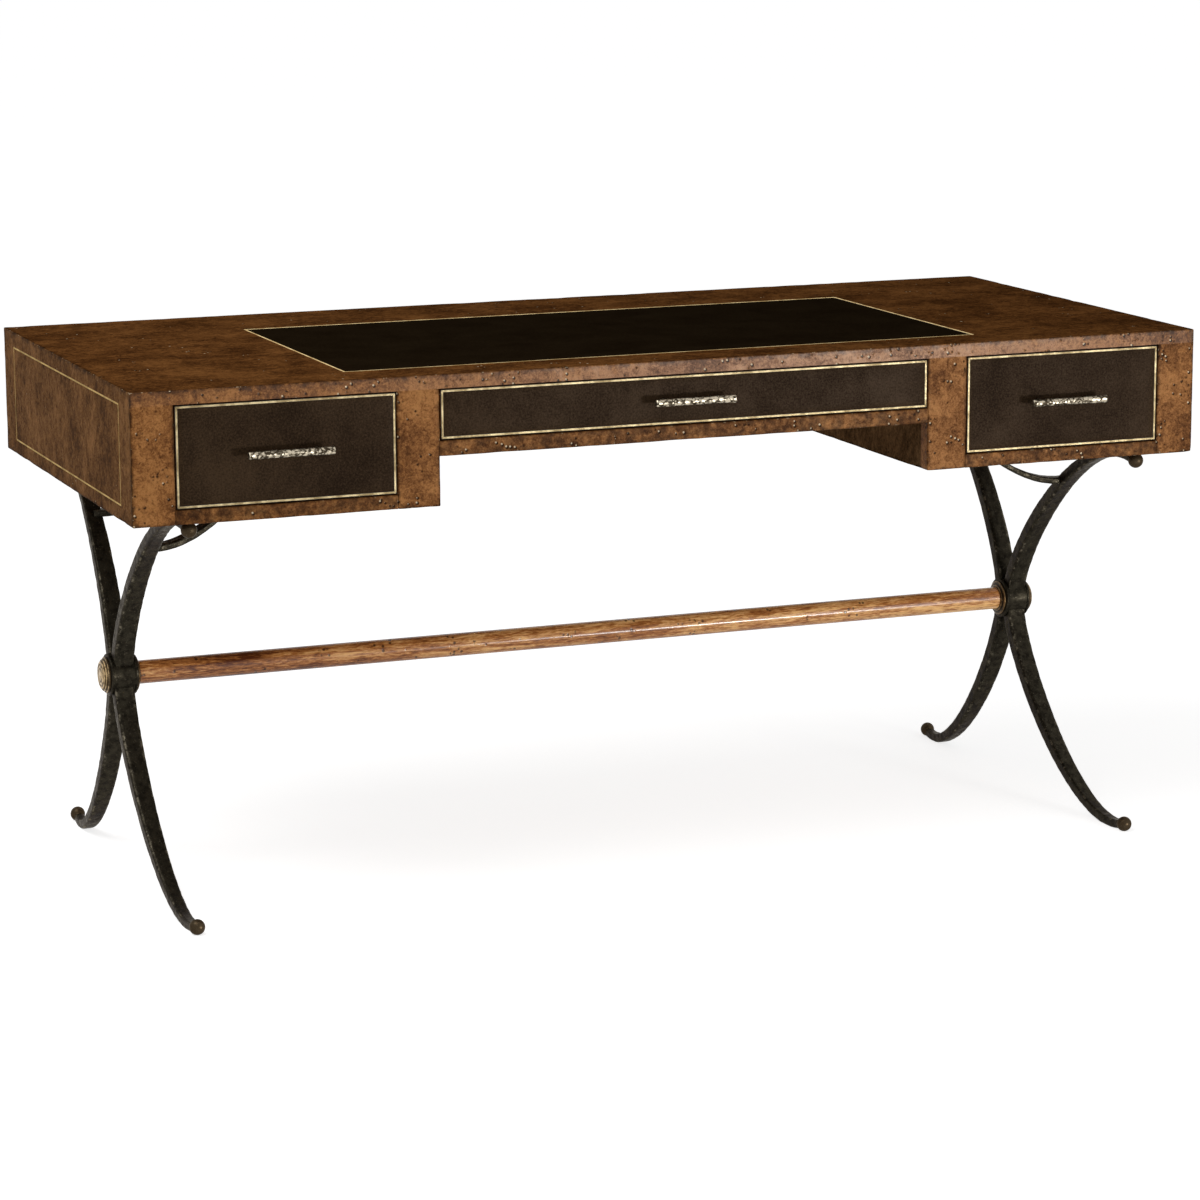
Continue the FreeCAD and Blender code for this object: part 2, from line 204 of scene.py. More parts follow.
class DeskIronSettings(bpy.types.PropertyGroup):
    bar_depth: length("Bar depth", "Depth of a bow's bar at the hub", 22 * MM)
    tip_width: length("Tip width", "Width of a bar at its ball", 14 * MM)
    tip_depth: length("Tip depth", "Depth of a bar at its ball", 13 * MM)
    ball_radius: length("Ball radius", "Radius of the forged balls", 11.5 * MM)
    ball_flat: length("Ball flat", "How much of a ball is worn flat", 0.4 * MM)
    front_tip_angle: angle("Front tip angle", "How steeply the front tips turn away", 16)
    back_tip_angle: angle("Back tip angle", "How steeply the back tips turn away", 24)
    hub_handle_share: share("Hub handle", "Length of the curve's handle at the hub", 0.30)
    tip_handle_share: share("Tip handle", "Length of the curve's handle at the ball", 0.42)
    foot_inset: length("Foot inset", "From the case's face in to a foot's ball", 30 * MM)
    arm_inset: length("Arm inset", "From the case's face in to an arm's ball", 20 * MM)
    ball_steps: count("Ball steps", "Rings of a ball", 14, least=4)
    half_steps: count("Steps", "Rings along half a bow", 150, least=12)
    around: count("Around", "Vertices round a bar", 40, least=8)
    dent_size: length("Dent size", "Width of one hammer mark", 14 * MM)
    dent_depth: length("Dent depth", "Depth of the hammer marks", 0.45 * MM)
    strap_width: length("Strap width", "Width of the scroll straps", 24 * MM)
    strap_drop: length("Strap drop", "How far below the case a strap leaves its arm", 81 * MM)
    strap_reach: length("Strap reach", "How far a strap runs in from its arm", 166 * MM)
    strap_angle: angle("Strap angle", "How far a strap turns from the desk's length", 9)
    iron: colour("Iron", "Flat faces of the iron", paint(50, 46, 37))
    iron_dark: colour("Iron, dark", "Scale and hollows of the iron", paint(24, 21, 16))
    # Pale tone of the rubbed edges and the glints: wear, and painted highlights as well.
    iron_rubbed: colour("Iron, rubbed", "Rubbed edges of the iron", paint(122, 114, 98))
    ball: colour("Ball", "Bronze tone of the balls", paint(82, 66, 46))


class DeskStretcherSettings(bpy.types.PropertyGroup):
    unevenness: length("Unevenness", "How far the turning strays from round", 0.2 * MM)
    # Painted light: over this reach the stretcher's tone runs from darker at the left to lighter at the
    # right.
    painted_light_reach: length("Drift reach", "How far from the middle the wood's tone shifts", 560 * MM)
    steps: count("Steps", "Rings along the stretcher", 110, least=2)
    around: count("Around", "Vertices round the stretcher", 48, least=8)
    dark: colour("Dark", "Dark streaks of the stretcher", paint(86, 40, 15))
    mid: colour("Middle", "Middle tone of the stretcher", paint(176, 112, 58))
    light: colour("Light", "Light tone of the stretcher", paint(244, 192, 126))


class DeskStageSettings(bpy.types.PropertyGroup):
    lens: amount("Lens", "Focal length in millimetres", 117.09)
    camera_place: spot("Camera place", "Where the camera stands", (-2.1566, -5.4671, 1.5580))
    azimuth: angle("Azimuth", "The camera's turn about the desk", -21.54)
    elevation: angle("Elevation", "How far the camera looks down", 11.51)
    roll: angle("Roll", "The camera's tilt", -0.27)
    key_place: spot("Key place", "Where the front light stands", (2.05, -4.35, 0.12))
    side_place: spot("Side place", "Where the tall side light stands", (2.3, -3.5, 0.95))
    top_place: spot("Top place", "Where the overhead light hangs", (-1.7, -0.6, 3.0))
    ambient: amount("Ambient", "Level of the even light", 0.26)
    key_power: amount("Key power", "Watts of the front light", 118)
    side_power: amount("Side power", "Watts of the tall side light", 20)
    top_power: amount("Top power", "Watts of the overhead light", 58)
    floor_white: share("Floor white", "How pale the floor is", 0.7)
    floor_size: length("Floor size", "Half the width of the floor", 30)
    # The floor's own light is lower near the desk than far from it: painted shade round the desk.
    shaded_near_glow: amount("Near glow", "Own light of the floor under the desk", 0.765)
    far_glow: amount("Far glow", "Own light of the floor away from the desk", 0.82)
    near_reach: length("Near reach", "How far from the desk's middle the floor starts to brighten", 0.9)
    far_reach: length("Far reach", "How far from the desk's middle the floor is at its brightest", 2.2)


SETTINGS = {
    "desk_case": DeskCaseSettings,
    "desk_leather": DeskLeatherSettings,
    "desk_brass": DeskBrassSettings,
    "desk_handle": DeskHandleSettings,
    "desk_iron": DeskIronSettings,
    "desk_stretcher": DeskStretcherSettings,
    "desk_stage": DeskStageSettings,
}


# Shader wiring


WHITE = (1, 1, 1)
PIT_RARITY = 0.60
PIT_CORE = 0.55
PIT_RIM_OFFSET = (1.3 * MM, 0, -1.5 * MM)
GRIME_PATCHINESS = 1.5


class Wiring:
    """Adds nodes to one node tree and joins them as they are made."""

    def __init__(self, tree):
        self.tree = tree

    def add(self, kind, inputs=(), **settings):
        made = self.tree.nodes.new("ShaderNode" + kind)
        for name, value in settings.items():
            setattr(made, name, value)
        for key, value in dict(inputs).items():
            self.feed(made.inputs[key], value)
        return made

    def feed(self, socket, value):
        if isinstance(value, bpy.types.NodeSocket):
            self.tree.links.new(value, socket)
        elif socket.type == "RGBA":
            socket.default_value = (*value, 1)
        else:
            socket.default_value = value

    def math(self, operation, first, second):
        return self.add("Math", {0: first, 1: second}, operation=operation).outputs[0]

    def plus(self, first, second):
        return self.math("ADD", first, second)

    def less(self, first, second):
        return self.math("SUBTRACT", first, second)

    def times(self, first, second):
        return self.math("MULTIPLY", first, second)

    def larger(self, first, second):
        return self.math("MAXIMUM", first, second)

    def blend(self, *parts):
        """The sum of values, each taken at its share."""
        return reduce(self.plus, [self.times(value, part) for value, part in parts])

    def ramp(self, value, between=(0, 1), to=(0, 1)):
        """A value between two limits, spread smoothly over two others and held there."""
        made = self.add("MapRange", {"Value": value, "From Min": between[0], "From Max": between[1],
                                     "To Min": to[0], "To Max": to[1]}, interpolation_type="SMOOTHSTEP")
        return made.outputs["Result"]

    def mix(self, factor, first, second):
        return self.add("Mix", {0: factor, 6: first, 7: second}, data_type="RGBA").outputs[2]

    def stain(self, under, over, mask, share):
        """One colour over another, as far as a mask and its share go."""
        return self.mix(self.times(mask, share), under, over)

    def tones(self, value, *stops):
        """A colour ramp through (place, colour) stops."""
        made = self.add("ValToRGB", {"Fac": value})
        band = made.color_ramp.elements
        while len(band) < len(stops):
            band.new(1)
        for element, (place, tone) in zip(band, stops):
            element.position = place
            element.color = (*tone, 1)
        return made.outputs["Color"]

    def noise(self, vector, scale=1.0, detail=2.0, roughness=0.5, distortion=0.0):
        made = self.add("TexNoise", {"Vector": vector, "Scale": scale, "Detail": detail,
                                     "Roughness": roughness, "Distortion": distortion})
        return made.outputs["Fac"]

    def cells(self, vector, scale, feature="F1"):
        return self.add("TexVoronoi", {"Vector": vector, "Scale": scale, "Randomness": 1.0},
                        feature=feature).outputs

    def stretched(self, vector, scale, place=(0, 0, 0)):
        return self.add("Mapping", {"Vector": vector, "Scale": scale, "Location": place}).outputs["Vector"]

    def group(self, tree, **inputs):
        made = self.add("Group", node_tree=tree)
        for name, value in inputs.items():
            self.feed(made.inputs[name.title()], value)
        return made.outputs

    def seen(self):
        """1 where the camera looks, straight or by way of gloss or glass, and 0 for light on the desk."""
        rays = self.add("LightPath").outputs
        kinds = ("Is Camera Ray", "Is Glossy Ray", "Is Transmission Ray")
        return reduce(self.larger, [rays[kind] for kind in kinds])


def made_once(build):
    """Keeps each material or node group by the arguments that it was made with."""
    kept = {}

    def give(*arguments):
        if arguments not in kept:
            kept[arguments] = build(*arguments)
        return kept[arguments]
    return give


def shader_group(name, inputs, outputs):
    """A new node group: its wiring, what it is given and what it results in."""
    tree = bpy.data.node_groups.new(name, "ShaderNodeTree")
    for socket, kind in inputs.items():
        tree.interface.new_socket(socket, in_out="INPUT", socket_type="NodeSocket" + kind)
    for socket in outputs:
        tree.interface.new_socket(socket, in_out="OUTPUT", socket_type="NodeSocketFloat")
    start = tree.nodes.new("NodeGroupInput")
    end = tree.nodes.new("NodeGroupOutput")
    return Wiring(tree), start.outputs, end.inputs


@made_once
def burl_group():
    """Burl figure: Tone from dark to light, and Eyes, the small dark knots."""
    wire, given, result = shader_group("burl figure", {"Vector": "Vector"}, ("Tone", "Eyes"))
    vector = given["Vector"]
    clouds = wire.noise(vector, scale=15, detail=3, roughness=0.55, distortion=0.3)
    mottle = wire.noise(vector, scale=95, detail=6, roughness=0.72, distortion=0.7)
    fibres = wire.noise(vector, scale=420, detail=3, roughness=0.7)
    figure = wire.blend((clouds, 0.30), (mottle, 0.40), (fibres, 0.30))
    wire.feed(result["Tone"], wire.ramp(figure, between=(0.38, 0.62)))
    near = wire.ramp(wire.cells(vector, scale=135)["Distance"], between=(0.42, 0.08))
    patches = wire.ramp(wire.noise(vector, scale=30, detail=3), between=(0.47, 0.58))
    wire.feed(result["Eyes"], wire.times(near, patches))
    return wire.tree


@made_once
def distress_group():
    """Worm holes and nicks in clusters: Pits, and Specks of light on their rims."""
    inputs = {"Vector": "Vector", "Spread": "Float"}
    wire, given, result = shader_group("distress", inputs, ("Pits", "Specks"))
    vector = given["Vector"]
    crowding = wire.less(wire.noise(vector, scale=34), given["Spread"])

    def dots(place, size):
        cells = wire.cells(place, scale=150)
        chance = wire.add("SeparateColor", {0: cells["Color"]}).outputs[0]
        near = wire.ramp(cells["Distance"], between=(size, size * PIT_CORE))
        return wire.times(near, wire.math("GREATER_THAN", chance, PIT_RARITY))

    pits = dots(vector, size=0.46)
    rims = dots(wire.stretched(vector, (1, 1, 1), PIT_RIM_OFFSET), size=0.28)
    wire.feed(result["Pits"], wire.times(pits, wire.ramp(crowding, between=(0.0, 0.05))))
    wire.feed(result["Specks"], wire.times(rims, wire.ramp(crowding, between=(0.03, 0.08))))
    return wire.tree


@made_once
def wear_group():
    """Rubbed edges: Dark where grime gathers, Pale where the finish is gone and where a painted highlight
    runs along the arris.
    """
    wire, given, result = shader_group("edge wear", {"Vector": "Vector", "Wear": "Float"}, ("Dark", "Pale"))
    vector, wear = given["Vector"], given["Wear"]
    uneven = wire.noise(vector, scale=70, detail=4, roughness=0.65)
    grime = wire.plus(wear, wire.times(wire.less(uneven, 0.5), GRIME_PATCHINESS))
    grime = wire.times(wire.ramp(grime, between=(0.45, 1.15)), wire.ramp(wear, between=(0.0, 0.35)))
    wire.feed(result["Dark"], grime)
    chips = wire.noise(vector, scale=120, roughness=0.6)
    bare = wire.times(wire.ramp(wear, between=(0.84, 0.96)), wire.ramp(chips, between=(0.62, 0.68)))
    wire.feed(result["Pale"], bare)
    return wire.tree


@made_once
def hide_group():
    """Leather: Height of its pebbled grain, and Mottle, its uneven dye."""
    wire, given, result = shader_group("hide grain", {"Vector": "Vector"}, ("Height", "Mottle"))
    vector = given["Vector"]
    pebbles = wire.cells(vector, scale=560, feature="SMOOTH_F1")
    creases = wire.noise(vector, scale=240, detail=4, roughness=0.65)
    wire.feed(result["Height"], wire.plus(pebbles["Distance"], creases))
    wide = wire.noise(vector, scale=13, detail=5, roughness=0.62, distortion=0.4)
    fine = wire.noise(vector, scale=360, detail=3, roughness=0.75)
    wire.feed(result["Mottle"], wire.ramp(wire.blend((wide, 0.38), (fine, 0.62)), between=(0.34, 0.66)))
    return wire.tree


@made_once
def hammer_group():
    """Forged skin: Height of fine scale and dents, and Patch, its uneven tone."""
    wire, given, result = shader_group("forged skin", {"Vector": "Vector"}, ("Height", "Patch"))
    vector = given["Vector"]
    scale = wire.noise(vector, scale=520, detail=4, roughness=0.7)
    dents = wire.cells(vector, scale=170, feature="SMOOTH_F1")
    wire.feed(result["Height"], wire.blend((dents["Distance"], 1.0), (scale, 0.8)))
    patch = wire.noise(vector, scale=90, detail=5, roughness=0.7)
    wire.feed(result["Patch"], wire.ramp(patch, between=(0.34, 0.66)))
    return wire.tree


# Materials


class Finish:
    """A new material: its wiring, its Principled shader and its object coordinates."""

    def __init__(self, name):
        self.material = bpy.data.materials.new(name)
        self.material.use_nodes = True
        self.wire = Wiring(self.material.node_tree)
        self.shader = self.material.node_tree.nodes["Principled BSDF"]
        self.place = self.wire.add("TexCoord").outputs["Object"]

    def set(self, **inputs):
        for name, value in inputs.items():
            socket = name.replace("_", " ").title().replace("Ior", "IOR")
            self.wire.feed(self.shader.inputs[socket], value)
        return self.material

    def bump(self, height, depth, strength):
        made = self.wire.add("Bump", {"Height": height, "Distance": depth, "Strength": strength})
        return made.outputs["Normal"]

    def attribute(self, name):
        return self.wire.add("Attribute", attribute_name=name).outputs["Fac"]


# The end, top and kneehole cuts use darker tone sets than the front: painted shade by the way each face is
# turned to the light.
VENEERS = {
    "front": {"stretch": (1.0, 1.0, 1.0), "spread": 0.50, "tones": "front", "rough": 0.42, "shine": 0.04},
    "edge": {"stretch": (1.0, 1.0, 1.0), "spread": 0.50, "tones": "front", "rough": 0.30, "shine": 0.11},
    "end": {"stretch": (1.0, 1.0, 0.85), "spread": 0.60, "tones": "end", "rough": 0.55, "shine": 0.01},
    "top": {"stretch": (0.8, 1.0, 1.0), "spread": 0.61, "tones": "top", "rough": 0.50, "shine": 0.0},
    "inside": {"stretch": (1.0, 1.0, 0.75), "spread": 0.66, "tones": "inside", "rough": 0.60, "shine": 0.0},
}
GRIME_DEPTH = 0.25
CHIP_AND_HIGHLIGHT_SHARE = 0.7
DARK_DULLNESS = 0.10
# Pale tone of bare wood at the chips, also used for painted highlights on the arrises and the pits' rims.
BARE_WOOD_AND_HIGHLIGHT = paint(228, 206, 170)
PIT_BROWN = paint(30, 17, 9)
HIDE_SHINE = {"drawer": 0.02, "top": 0.0}
STRIP_TINT = (0.76, 0.66, 0.48)
IRON_TINT = (0.45, 0.40, 0.31)
IRON_BUMPS = {"bar": 0.7, "drum": 0.2}
RUBBED_AND_HIGHLIGHT_SHARE = 0.8
PAINTED_GLINT_SHARE = 0.45
MASTIC_AND_SHADE_DARK, MASTIC_AND_SHADE_LIGHT = paint(14, 10, 7), paint(34, 24, 16)
STEEL_DARK, STEEL_LIGHT = paint(96, 94, 90), paint(140, 138, 132)


@made_once
def veneer(kind):
    """Worn burl veneer, cut for the front, the slab's edge, the ends, the top or the kneehole; the end, top
    and kneehole cuts take darker tones than the front as painted shade.
    """
    case = bpy.context.scene.desk_case
    cut = VENEERS[kind]
    finish = Finish("burl_veneer_" + kind)
    wire = finish.wire
    burl = wire.group(burl_group(), vector=wire.stretched(finish.place, cut["stretch"]))
    dark, mid, light = [getattr(case, cut["tones"] + tone) for tone in ("_dark", "_mid", "_light")]
    black = [value * GRIME_DEPTH for value in dark]
    wood = wire.tones(burl["Tone"], (0.0, dark), (0.5, mid), (1.0, light))
    wood = wire.stain(wood, dark, burl["Eyes"], share=0.35)
    rubbed = wire.group(wear_group(), vector=finish.place, wear=finish.attribute("wear"))
    wood = wire.stain(wood, black, rubbed["Dark"], share=0.85)
    marks = wire.group(distress_group(), vector=finish.place, spread=cut["spread"])
    wood = wire.stain(wood, black, marks["Pits"], share=0.95)
    # Pale marks: bare wood where the finish is chipped off the arrises, plus painted highlights on those
    # arrises and on the pits' rims.
    pale = wire.larger(marks["Specks"], wire.times(rubbed["Pale"], CHIP_AND_HIGHLIGHT_SHARE))
    wood = wire.stain(wood, BARE_WOOD_AND_HIGHLIGHT, pale, share=0.75)
    relief = wire.blend((burl["Tone"], 0.08), (marks["Pits"], -1.0))
    return finish.set(base_color=wood, specular_ior_level=cut["shine"],
                      roughness=wire.ramp(burl["Tone"], to=(cut["rough"] + DARK_DULLNESS, cut["rough"])),
                      normal=finish.bump(relief, depth=0.6 * MM, strength=0.8))


@made_once
def plain_wood():
    """Planed, unvarnished timber of the drawer boxes."""
    case = bpy.context.scene.desk_case
    finish = Finish("planed_wood")
    wire = finish.wire
    lengthwise = wire.stretched(finish.place, (90, 3.5, 60))
    grain = wire.noise(lengthwise, detail=5, roughness=0.6, distortion=0.4)
    pores = wire.noise(wire.stretched(finish.place, (700, 26, 700)), roughness=0.6)
    tone = wire.blend((grain, 0.7), (pores, 0.3))
    wood = wire.tones(wire.ramp(tone, between=(0.34, 0.66)), (0, case.wood_dark), (1, case.wood))
    return finish.set(base_color=wood, roughness=wire.ramp(tone, between=(0.3, 0.7), to=(0.72, 0.58)),
                      normal=finish.bump(pores, depth=0.15 * MM, strength=0.5))


@made_once
def turned_wood():
    """Polished, figured wood of the stretcher, with painted light: its tone runs lighter towards the right
    end.
    """
    rail = bpy.context.scene.desk_stretcher
    finish = Finish("stretcher_wood")
    wire = finish.wire
    burl = wire.group(burl_group(), vector=wire.stretched(finish.place, (0.2, 1.5, 1.5), (0.4, 0.2, 0.1)))
    streaks = wire.noise(wire.stretched(finish.place, (5, 170, 170)), detail=4, roughness=0.6)
    along = wire.add("SeparateXYZ", {0: finish.place}).outputs["X"]
    # Painted light: the tone runs darker towards the left end and lighter towards the right, where more
    # light falls.
    painted_light_drift = wire.ramp(along, between=(-rail.painted_light_reach, rail.painted_light_reach), to=(-0.07, 0.11))
    tone = wire.plus(wire.blend((burl["Tone"], 0.5), (streaks, 0.5)), painted_light_drift)
    wood = wire.tones(tone, (0.26, rail.dark), (0.51, rail.mid), (0.76, rail.light))
    marks = wire.group(distress_group(), vector=finish.place, spread=0.56)
    wood = wire.stain(wood, PIT_BROWN, marks["Pits"], share=0.8)
    relief = wire.blend((streaks, 0.1), (marks["Pits"], -1.0))
    return finish.set(base_color=wood, specular_ior_level=0.34,
                      roughness=wire.ramp(tone, between=(0.2, 0.8), to=(0.24, 0.16)),
                      normal=finish.bump(relief, depth=0.4 * MM, strength=0.6))


@made_once
def leather(place):
    """Aged dark hide, for the drawers or the writing top."""
    hide = bpy.context.scene.desk_leather
    finish = Finish("hide_" + place)
    wire = finish.wire
    grain = wire.group(hide_group(), vector=finish.place)
    dark, light = [getattr(hide, place + tone) for tone in ("_dark", "_light")]
    dye = wire.tones(grain["Mottle"], (0, dark), (1, light))
    return finish.set(base_color=dye, specular_ior_level=HIDE_SHINE[place],
                      roughness=wire.ramp(grain["Mottle"], to=(0.55, 0.38)),
                      normal=finish.bump(grain["Height"], depth=0.16 * MM, strength=0.55))


@made_once
def brass_strip(place):
    """Flush brass line of the front, the top or the case, dulled in stretches."""
    brass = bpy.context.scene.desk_brass
    finish = Finish("brass_strip_" + place)
    wire = finish.wire
    dull = wire.ramp(wire.noise(finish.place, scale=42, detail=4, roughness=0.65), between=(0.36, 0.62))
    scuffs = wire.noise(finish.place, scale=380, detail=3, roughness=0.6)
    metal = wire.mix(dull, getattr(brass, place + "_bright"), getattr(brass, place + "_dull"))
    return finish.set(base_color=metal, metallic=0.8, specular_ior_level=0.1, specular_tint=STRIP_TINT,
                      roughness=wire.ramp(scuffs, between=(0.3, 0.7), to=(0.42, 0.58)),
                      normal=finish.bump(scuffs, depth=0.08 * MM, strength=0.5))


@made_once
def turned_brass(piece):
    """Darkened brass of the finials or the collars."""
    brass = bpy.context.scene.desk_brass
    finish = Finish("turned_brass_" + piece)
    wire = finish.wire
    patina = wire.noise(finish.place, scale=130, detail=5, roughness=0.65, distortion=0.5)
    patina = wire.blend((patina, 1.0), (finish.attribute("groove"), 0.35))
    metal = wire.mix(wire.ramp(patina, between=(0.42, 0.80)),
                     getattr(brass, piece + "_bright"), getattr(brass, piece + "_dark"))
    scratches = wire.noise(finish.place, scale=600, detail=3, roughness=0.6)
    return finish.set(base_color=metal, metallic=0.9,
                      roughness=wire.ramp(patina, between=(0.4, 0.8), to=(0.30, 0.55)),
                      normal=finish.bump(scratches, depth=0.10 * MM, strength=0.4))


@made_once
def hammered_metal():
    """Bright hammered metal of the handles, tarnished between its faces."""
    handle = bpy.context.scene.desk_handle
    finish = Finish("hammered_metal")
    wire = finish.wire
    streaks = wire.noise(wire.stretched(finish.place, (0.45, 1, 1)), scale=300, detail=4, roughness=0.7)
    tarnish = wire.blend((streaks, 1.0), (finish.attribute("groove"), 0.2))
    tarnish = wire.ramp(tarnish, between=(0.48, 0.64))
    scratches = wire.noise(finish.place, scale=700, detail=3, roughness=0.6)
    return finish.set(base_color=wire.mix(tarnish, handle.metal, handle.metal_dark), metallic=1.0,
                      roughness=wire.ramp(tarnish, to=(0.30, 0.55)),
                      normal=finish.bump(scratches, depth=0.12 * MM, strength=0.5))


@made_once
def iron(part):
    """Forged iron with a dark patina, rubbed on its edges and bronze at its balls, smoother on the drums;
    the pale rubbed edges are also painted highlights, and fine pale specks are painted glints.
    """
    settings = bpy.context.scene.desk_iron
    finish = Finish("wrought_iron_" + part)
    wire = finish.wire
    skin = wire.group(hammer_group(), vector=finish.place)
    metal = wire.mix(skin["Patch"], settings.iron_dark, settings.iron)
    metal = wire.stain(metal, settings.ball, finish.attribute("ball"), share=0.45)
    # The pale rubbed edges are wear and also painted highlights along the arrises; the glints are painted
    # highlight specks.
    chips = wire.ramp(wire.noise(finish.place, scale=75, detail=5, roughness=0.75), between=(0.50, 0.66))
    rubbed = wire.times(wire.ramp(finish.attribute("wear"), between=(0.10, 0.75)), chips)
    painted_glints = wire.ramp(wire.noise(finish.place, scale=420, detail=3, roughness=0.7), between=(0.60, 0.72))
    bright = wire.larger(wire.times(rubbed, RUBBED_AND_HIGHLIGHT_SHARE), wire.times(painted_glints, PAINTED_GLINT_SHARE))
    return finish.set(base_color=wire.mix(bright, metal, settings.iron_rubbed), metallic=0.5,
                      specular_ior_level=0.08, specular_tint=IRON_TINT,
                      roughness=wire.ramp(skin["Patch"], to=(0.40, 0.26)),
                      normal=finish.bump(skin["Height"], depth=0.35 * MM, strength=IRON_BUMPS[part]))


@made_once
def dark_mastic():
    """The black filling beside the brass, which also paints the shadow line beside each strip and at the
    drawers' edges.
    """
    finish = Finish("dark_mastic")
    grain = finish.wire.noise(finish.place, scale=500)
    filling = finish.wire.tones(grain, (0, MASTIC_AND_SHADE_DARK), (1, MASTIC_AND_SHADE_LIGHT))
    return finish.set(base_color=filling, roughness=0.7)


@made_once
def plain_steel():
    """Screws and the hidden rod."""
    finish = Finish("plain_steel")
    scuffs = finish.wire.noise(finish.place, scale=350, detail=3, roughness=0.6)
    steel = finish.wire.tones(scuffs, (0.3, STEEL_DARK), (0.7, STEEL_LIGHT))
    return finish.set(base_color=steel, metallic=1.0,
                      roughness=finish.wire.ramp(scuffs, between=(0.3, 0.7), to=(0.35, 0.55)))


# Making pieces


CUT_TOLERANCE = 1e-7
WELD_DISTANCE = 1e-6
FLAT_ENOUGH = 0.999
FEWEST_CELLS = 3
ARRIS_MARGIN = 1.1
SINK_WALL = 0.02 * MM
MAIN_FINISH, MASTIC_AND_SHADE_FINISH, SIDE_FINISHES = range(3)
SHARP_ANGLES = {"hide": 50, "handle": 40, "turning": 50, "stretcher": 60}


def layer(bm, name):
    return bm.verts.layers.float.get(name) or bm.verts.layers.float.new(name)


def mesh_of(bm, name):
    mesh = bpy.data.meshes.new(name)
    bm.to_mesh(mesh)
    bm.free()
    return mesh


def stand(name, data):
    """A new object at the origin."""
    made = bpy.data.objects.new(name, data)
    bpy.context.scene.collection.objects.link(made)
    return made


def keep_piece(bm, name, node, slot, *materials):
    """Turns a bmesh into a piece that stands for a CAD node and rides on that node's body."""
    mesh = mesh_of(bm, name)
    for material in materials:
        mesh.materials.append(material)
    piece = stand(name, mesh)
    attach(piece, frame["nodes"][node]["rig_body"])
    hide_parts(node)
    return piece


def smooth(bm):
    for face in bm.faces:
        face.smooth = True


def new_verts(made):
    """The vertices among the things that a bmesh operation made."""
    return [item for item in made["geom"] if isinstance(item, bmesh.types.BMVert)]


def round_edges(bm, edges, rounding, segments):
    bmesh.ops.bevel(bm, geom=edges, offset=rounding, affect="EDGES", segments=segments, profile=0.5,
                    material=-1, clamp_overlap=True)


def uneven(place, coarse, fine, fine_share):
    """Two sizes of noise at a place, the finer one at its share."""
    return noise.noise(place * coarse) + fine_share * noise.noise(place * fine)


def cut_across(bm, axis, places):
    """Adds an edge loop at each place along an axis."""
    for place in places:
        bmesh.ops.bisect_plane(bm, geom=bm.verts[:] + bm.edges[:] + bm.faces[:],
                               dist=CUT_TOLERANCE, plane_co=AXES[axis] * place, plane_no=AXES[axis])


def even_places(low, high, step):
    cells = max(1, round((high - low) / step))
    return [low + (high - low) * i / cells for i in range(1, cells)]


def block(low, high):
    """A bmesh box between two corners."""
    bm = bmesh.new()
    bmesh.ops.create_cube(bm, size=1)
    bmesh.ops.scale(bm, vec=high - low, verts=bm.verts)
    bmesh.ops.translate(bm, vec=(low + high) / 2, verts=bm.verts)
    return bm


def side_of(face):
    """The side that a box's face is on, such as +x."""
    axis = max(range(3), key=lambda i: abs(face.normal[i]))
    return ("+" if face.normal[axis] > 0 else "-") + "xyz"[axis]


def heading_of(side):
    """The axis number and the direction of a side: +x is 0 and 1."""
    return "xyz".index(side[1]), 1 if side[0] == "+" else -1


def is_flat(face):
    """Whether a face looks straight along an axis."""
    return max(abs(value) for value in face.normal) > FLAT_ENOUGH


def arrises_of(bm, exposed):
    """The edges of a box between two of its exposed sides."""
    bm.normal_update()
    return [edge for edge in bm.edges if all(side_of(face) in exposed for face in edge.link_faces)]


def board(low, high, exposed, rounding, coarseness=1):
    """A board with its exposed edges rounded and dented, and the wear attribute along them."""
    case = bpy.context.scene.desk_case
    step = case.grid_step * coarseness
    wear_reach = case.wear_reach
    bm = block(low, high)
    arrises = arrises_of(bm, exposed)
    lines = []
    for edge in arrises:
        outward = sum((face.normal for face in edge.link_faces), Vector()).normalized()
        lines.append((edge.verts[0].co.copy(), (edge.verts[1].co - edge.verts[0].co).normalized(), outward))
    round_edges(bm, arrises, rounding, segments=3)
    for face in bm.faces:
        face.smooth = not is_flat(face)
    for index, axis in enumerate("xyz"):
        reach = high[index] - low[index]
        if reach > FEWEST_CELLS * step:
            cut_across(bm, axis, even_places(low[index], high[index], step))
        if reach > FEWEST_CELLS * wear_reach:
            cut_across(bm, axis, (low[index] + wear_reach, high[index] - wear_reach))
    wear = layer(bm, "wear")
    for vert in bm.verts:
        for start, along, outward in lines:
            offset = vert.co - start
            distance = (offset - along * offset.dot(along)).length
            vert[wear] = max(vert[wear], 1 - distance / wear_reach)
            if distance < ARRIS_MARGIN * rounding:
                dent = uneven(vert.co, coarse=28, fine=75, fine_share=0.6)
                vert.co -= outward * case.wear_depth * max(0, dent)
    return bm


def sink(bm, side, low, high, depth, width=None):
    """Sinks a rectangle of a board's flat side, or only a band of the given width inside its edge."""
    along, up = [axis for axis in "xyz" if axis != side[1]]
    for index, axis in enumerate((along, up)):
        cut_across(bm, axis, (low[index], high[index]))
        if width:
            cut_across(bm, axis, (low[index] + width, high[index] - width))

    def inside(place, margin):
        return all(low[i] + margin < place[i] < high[i] - margin for i in range(2))

    sunk = []
    for face in bm.faces:
        if side_of(face) != side or not is_flat(face):
            continue
        middle = face.calc_center_median()
        place = [middle["xyz".index(axis)] for axis in (along, up)]
        if inside(place, 0) and not (width and inside(place, width)):
            sunk.append(face)
    bmesh.ops.inset_region(bm, faces=sunk, thickness=SINK_WALL, depth=-depth, use_boundary=True)
    return sunk


